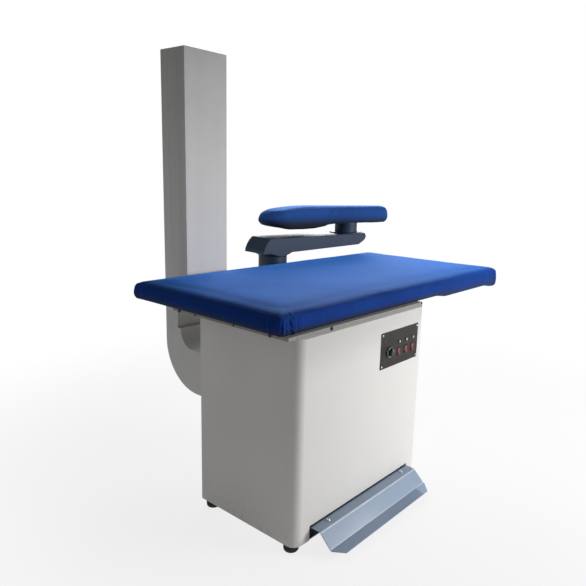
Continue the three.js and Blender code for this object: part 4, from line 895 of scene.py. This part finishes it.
def makeBuckCover():
    t = buckCover
    turn = math.radians(t["turn"])
    ahead, side = np.array((math.cos(turn), math.sin(turn))), np.array((-math.sin(turn), math.cos(turn)))
    piece = newPiece("buck_cover_cloth", stackedRings("buckCover", buckRings(t, ahead, side)), buckCloth)
    remeshed(piece, t["voxel"])
    held = 1 - ease(points(piece.data)[:, 2] * 1000, *t["held"])
    puffed(piece, t["cloth"], held)
    subdivided(piece)
    place = points(piece.data)
    flat = onDrawing(place)[:, :2] - np.array(t["post"])
    s, w = flat @ ahead, flat @ side
    z = place[:, 2] * 1000
    high = ease(z, *t["crown"])
    leftS, leftR = t["left"]
    nose = t["nose"] * np.clip((t["noseFrom"] - s) / (t["noseFrom"] - leftS + leftR), 0, 1) ** 1.9
    sag = t["sag"] * ease(s, *t["sagFrom"]) * (1 - ease(s, leftS + 40, leftS - leftR) * 0.9)
    ripple = np.array([noise.noise(Vector((a / 95, b / 60, 1.7))) for a, b in zip(s, w)])
    slanted = s - (z - t["crown"][0]) * 0.9
    fold = sum(np.exp(-((slanted - where) / width) ** 2) * rise for where, width, rise in t["folds"])
    z = z - nose * high - sag * (1 - high) + ripple * 3.5 * (1 - high)
    out = np.sign(w) * (fold * (1 - ease(z, *t["foldsEnd"])) + ripple * 2.0 * (1 - high)) * (np.abs(w) > 40)
    moved = np.stack((place[:, 0] + side[0] * out / 1000, place[:, 1] + side[1] * out / 1000, z / 1000), 1)
    setPoints(piece.data, moved)
    softEdges(piece.data, 70)
    placeOn(piece, "buck", "blue_fabric", "buck_cover")


makeBuckCover()
print("soft covers made")


# Turned shapes
def lathed(name, profile, sides, shape=None):
    # profile: (radius, height) from one pole to the other; shape scales the radius by angle and step
    verts, rows = [], []
    for k, (radius, height) in enumerate(profile):
        if radius == 0:
            rows.append([len(verts)] * sides)
            verts.append((0, 0, height))
            continue
        rows.append(list(range(len(verts), len(verts) + sides)))
        for i in range(sides):
            angle = 2 * math.pi * i / sides
            r = radius * (shape(angle, k) if shape else 1)
            verts.append((r * math.cos(angle), r * math.sin(angle), height))
    faces = []
    for low, high in zip(rows, rows[1:]):
        for i in range(sides):
            j = (i + 1) % sides
            ring = [low[i], low[j], high[j], high[i]]
            faces.append(tuple(dict.fromkeys(ring)))
    if profile[0][0]:
        faces.append(tuple(rows[0][::-1]))
    if profile[-1][0]:
        faces.append(tuple(rows[-1]))
    mesh = bpy.data.meshes.new(name)
    mesh.from_pydata(verts, [], faces)
    return reworked(mesh, lambda turned: bmesh.ops.recalc_face_normals(turned, faces=turned.faces))


def putMesh(mesh, place, facing=(0, 0, 1)):
    # millimetre shape with its axis along facing, its foot at place
    turn = Vector(facing).to_track_quat("Z", "Y").to_matrix().to_4x4()
    mesh.transform(Matrix.Translation(place) @ turn @ Matrix.Scale(0.001, 4))
    return mesh


# Fasteners: one node tree sets a head on every point, turned to its face
heads = {
    "pan": ([(1, 0), (1, 0.16), (0.95, 0.34), (0.78, 0.5), (0.56, 0.6), (0.5, 0.6), (0.34, 0.3), (0, 0.28)],
            24, lambda angle, k: 0.42 + 0.58 * abs(math.cos(2 * angle)) ** 3 if k in (5, 6) else 1),
    "hex": ([(1.3, 0), (1.3, 0.13), (1.24, 0.17), (0.98, 0.17), (0.98, 0.62), (0.86, 0.74), (0.3, 0.74),
             (0, 0.7)], 24,
            lambda angle, k: math.cos(math.pi / 6) / math.cos((angle % (math.pi / 3)) - math.pi / 6)
            if k in (3, 4) else 1),
    "rivet": ([(1, 0), (1, 0.1), (0.86, 0.32), (0.5, 0.48), (0, 0.53)], 12, None),
}


def fastenerTree():
    tree = bpy.data.node_groups.new("fasteners", "GeometryNodeTree")
    kinds = {"Geometry": "NodeSocketGeometry", "Head": "NodeSocketObject", "Size": "NodeSocketFloat",
             "Finish": "NodeSocketMaterial", "Seed": "NodeSocketInt"}
    for label, kind in kinds.items():
        tree.interface.new_socket(label, in_out="INPUT", socket_type=kind)
    tree.interface.new_socket("Geometry", in_out="OUTPUT", socket_type="NodeSocketGeometry")
    add = tree.nodes.new
    start, end = add("NodeGroupInput"), add("NodeGroupOutput")
    head, facing = add("GeometryNodeObjectInfo"), add("GeometryNodeInputNamedAttribute")
    facing.data_type = "FLOAT_VECTOR"
    facing.inputs["Name"].default_value = "facing"
    align = add("FunctionNodeAlignRotationToVector")
    align.axis = "Z"
    chance, spin = add("FunctionNodeRandomValue"), add("FunctionNodeAxisAngleToRotation")
    chance.data_type = "FLOAT"
    turn, setHeads = add("FunctionNodeRotateRotation"), add("GeometryNodeInstanceOnPoints")
    turn.rotation_space = "LOCAL"
    real, dress = add("GeometryNodeRealizeInstances"), add("GeometryNodeSetMaterial")
    link = tree.links.new
    floats = [socket for socket in chance.inputs if socket.enabled]
    floats[0].default_value, floats[1].default_value = 0.0, 2 * math.pi
    link(start.outputs["Seed"], chance.inputs["Seed"])
    link(start.outputs["Head"], head.inputs[0])
    link(facing.outputs[0], align.inputs["Vector"])
    link([socket for socket in chance.outputs if socket.enabled][0], spin.inputs["Angle"])
    link(align.outputs[0], turn.inputs[0])
    link(spin.outputs[0], turn.inputs[1])
    link(start.outputs["Geometry"], setHeads.inputs["Points"])
    link(head.outputs["Geometry"], setHeads.inputs["Instance"])
    link(turn.outputs[0], setHeads.inputs["Rotation"])
    link(start.outputs["Size"], setHeads.inputs["Scale"])
    link(setHeads.outputs[0], real.inputs[0])
    link(real.outputs[0], dress.inputs["Geometry"])
    link(start.outputs["Finish"], dress.inputs["Material"])
    link(dress.outputs[0], end.inputs[0])
    return tree


# name: body, slot, head, shank size, then x, y, z and facing of each
fasteners = {
    "panel_screws": ("frame", "bright_steel", "pan", 4.2,
                     [(x, -2, z, (0, -1, 0)) for x in (459, 696) for z in (558, 679)]),
    "pedal_screws": ("pedal", "bright_steel", "pan", 8.0, [(x, -17, 78, (0, 0, 1)) for x in (153, 617)]),
    "strip_bolts": ("frame", "black_plastic", "pan", 6.5,
                    [(-30, 561, 754, (-1, 0, 0)), (-30, 98, 755, (-1, 0, 0)), (178, 18, 756, (0, -1, 0))]),
    "strip_studs": ("frame", "black_plastic", "pan", 4.2,
                    [(-30, 469, 754, (-1, 0, 0)), (-30, 268, 755, (-1, 0, 0)), (756, 18, 757, (0, -1, 0))]),
    "hub_screw": ("frame", "arm_paint", "pan", 4.5,
                  [(807 + 71.4 * math.cos(a), 925 + 71.4 * math.sin(a), 846, (math.cos(a), math.sin(a), 0))
                   for a in (math.radians(-160), math.radians(20))]),
    "column_bolts": ("frame", "bright_steel", "hex", 4.0,
                     [(807 + 78 * math.cos(a), 925 + 78 * math.sin(a), 768, (0, 0, 1))
                      for a in np.linspace(0.3, 0.3 + 2 * math.pi, 7)[:-1]]),
    "duct_bolts": ("frame", "bright_steel", "hex", 4.2,
                   [(x, 729, z, (0, 1, 0)) for x in (210, 446) for z in (300, 352, 400, 448, 500)]
                   + [(x, 729, z, (0, 1, 0)) for x in (270, 328, 386) for z in (293, 507)]),
    "panel_back_screws": ("frame", "bright_steel", "pan", 4.5,
                          [(x, 480, z, (0, 1, 0)) for x in (11, 749) for z in (70, 230, 390, 550, 710)]
                          + [(x, 480, 739, (0, 1, 0)) for x in (140, 380, 620)]),
    "seam_rivets": ("frame", "duct_paint", "rivet", 3.0,
                    [(436, 945, z, (1, 0, 0)) for z in range(800, 1700, 110)]
                    + [(x, 1002, 757, (0, 1, 0)) for x in (250, 328, 406)]),
    "support_bolts": ("frame", "bright_steel", "hex", 5.0,
                      [(x, y, 744, (0, 0, -1)) for x in (225, 431) for y in (580, 760)]),
}


def makeFasteners():
    tree = fastenerTree()
    sockets = {item.name: item.identifier for item in tree.interface.items_tree if item.in_out == "INPUT"}
    patterns = {}
    for kind, (profile, sides, shape) in heads.items():
        mesh = lathed(kind + "Head", profile, sides, shape)
        softEdges(mesh, 40)
        patterns[kind] = bpy.data.objects.new(kind + "Head", mesh)
        scene.collection.objects.link(patterns[kind])
    for seed, (name, (body, slotName, kind, size, spots)) in enumerate(fasteners.items()):
        mesh = bpy.data.meshes.new(name)
        mesh.from_pydata([at(*spot[:3]) for spot in spots], [], [])
        facing = mesh.attributes.new("facing", "FLOAT_VECTOR", "POINT")
        facing.data.foreach_set("vector", [c for spot in spots for c in spot[3]])
        piece = bpy.data.objects.new(name, mesh)
        scene.collection.objects.link(piece)
        setting = piece.modifiers.new("fasteners", "NODES")
        setting.node_group = tree
        values = {"Head": patterns[kind], "Size": size / 1000, "Finish": finishes[slotName], "Seed": seed}
        for label, value in values.items():
            setting[sockets[label]] = value
        settle(piece)
        placeOn(piece, body, slotName)
    for pattern in patterns.values():
        bpy.data.objects.remove(pattern)
    print("fasteners set:", sum(len(row[4]) for row in fasteners.values()))


makeFasteners()

# Thermostat knob: skirt with a pale arc, ribbed grip, pointer line
knob = {
    "place": (508, -2.3, 608),
    "profile": [(0, 0), (21.4, 0), (22, 0.6), (22, 2.6), (21.2, 3.6), (15.4, 4.2), (14.4, 5), (14, 8),
                (13.6, 16.6), (12.8, 17.6), (11.6, 18), (6, 17.6), (0, 17.5)],
    "ribs": 20,
    "ribDepth": 0.045,
    "grip": (7, 8),
    "arc": 19.3,
}


def knobFinish():
    f = Finish("knobPlastic")
    x, _, z = f.parts(f.place)
    middle = at(*knob["place"])
    across, rise = x - middle.x, z - middle.z
    radius = (across * across + rise * rise) ** 0.5
    ring = abs(radius - knob["arc"] / 1000).ease(0.0011, 0.0006)
    openTop = rise.ease(0.012, 0.009)
    line = abs(across).ease(0.0012, 0.0007) * rise.over(0.0035) * radius.ease(0.0138, 0.013)
    grains = f.speckle(900.0, 2.0)
    wear = f.speckle(140.0, 4.0).ease(0.45, 0.75)
    tone = f.blend(wear * 0.3, (0.013, 0.012, 0.012), (0.035, 0.033, 0.032))
    tone = f.blend((ring * openTop).most(line) * 0.9, tone, (0.62, 0.60, 0.58))
    return f.surface(Base_Color=tone, Roughness=0.34 + wear * 0.12, Normal=f.relief(grains, 0.15, 0.0002))


def makeKnob():
    k = knob

    def ribbed(angle, step):
        return 1 + k["ribDepth"] * math.cos(k["ribs"] * angle) if step in k["grip"] else 1

    mesh = putMesh(lathed("thermostatKnob", k["profile"], 120, ribbed), at(*k["place"]), (0, -1, 0))
    softEdges(mesh, 36)
    placeOn(newPiece("knob_turned", mesh, knobFinish()), "knob", "black_plastic", "thermostat_knob")


makeKnob()

# Pilot lamps: milky dome in a dark ring
lamps = {
    "places": (573, 622, 671),
    "height": 637,
    "dome": [(0, -3), (4.9, -3), (4.9, 1.8), (4.5, 3.2), (3.4, 4.4), (1.8, 5.1), (0, 5.3)],
    "ring": [(5, -4), (7.6, -4), (8, -3.2), (8, 1.2), (7.4, 2.2), (6.2, 2.5), (5.3, 1.9), (5, 1.2)],
}


def openRing(shape):
    # a closed profile: the two caps go and the seam is joined
    bmesh.ops.delete(shape, geom=[f for f in shape.faces if len(f.verts) > 4], context="FACES_ONLY")
    bmesh.ops.remove_doubles(shape, verts=shape.verts, dist=0.00001)
    bmesh.ops.recalc_face_normals(shape, faces=shape.faces)


for number, x in enumerate(lamps["places"], 1):
    foot = at(x, -2, lamps["height"])
    dome = putMesh(lathed("lampDome", lamps["dome"], 32), foot, (0, -1, 0))
    softEdges(dome, 50)
    lens = newPiece(f"pilot_lens_{number}", dome, finishes["lamp_plastic"])
    placeOn(lens, "frame", "lamp_plastic", f"pilot_lamp_{number}")
    ring = putMesh(lathed("lampRing", lamps["ring"] + [lamps["ring"][0]], 32), foot, (0, -1, 0))
    softEdges(reworked(ring, openRing), 50)
    placeOn(newPiece(f"pilot_ring_{number}", ring, finishes["black_plastic"]), "frame", "black_plastic")

# Rubber feet: a ribbed shoe on a stem
feet = {
    "foot_front_left": (31, 43),
    "foot_front_right": (729, 43),
    "foot_rear_left": (31, 449),
    "foot_rear_right": (729, 449),
}
footProfile = [(0, 0), (20.5, 0), (24, 1.6), (26.2, 5.5), (27, 11), (27, 14.5), (26.1, 15.2), (26.1, 16.6),
               (27, 17.3), (26.4, 22), (23.5, 27.5), (17, 30), (12.5, 30.2), (12.5, 46), (0, 46)]
for node, (x, y) in feet.items():
    mesh = putMesh(lathed(node + "Shape", footProfile, 48), at(x, y, 0))
    softEdges(mesh, 50)
    placeOn(newPiece(node + "_moulded", mesh, finishes["rubber"]), "frame", "rubber", node)
print("small turned pieces made")

# The other visible nodes: their own shapes with eased edges
creased = ("pedal_plate", "swing_arm", "arm_top_cover")  # their folds are shallow and still show as lines
easedNodes = {
    0.0025: ["cabinet_shell"],
    0.0012: ["frame_bar_left", "frame_bar_right", "frame_bar_front", "frame_bar_rear", "chimney_rear",
             "chimney_front", "riser_duct", "exhaust_duct", "exhaust_elbow", "column_bracket", "arm_column",
             "buck_post", "swing_arm", "electrical_box", "blower_housing", "motor_body"],
    0.0006: ["pedal_plate", "pedal_lever_left", "pedal_lever_right", "arm_top_cover", "control_plate",
             "column_bush", "switch_bank", "mains_gland", "buck_tray", "back_panel", "rocker_switch_1",
             "rocker_switch_2", "rocker_switch_3"],
}
for width, nodes in easedNodes.items():
    for node in nodes:
        refined(node, width, angle=20 if node in creased else 34)
print("eased nodes:", sum(len(nodes) for nodes in easedNodes.values()))

# Return spring: the CAD coil, smooth shaded, on a mesh of its own
spring = newPiece("pedal_spring_coil", frame["nodes"]["pedal_spring"].data.copy(), finishes["bright_steel"])
softEdges(spring.data, 50)
placeOn(spring, "frame", "bright_steel", "pedal_spring")
at(153, -38, 32.5)
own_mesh(spring)
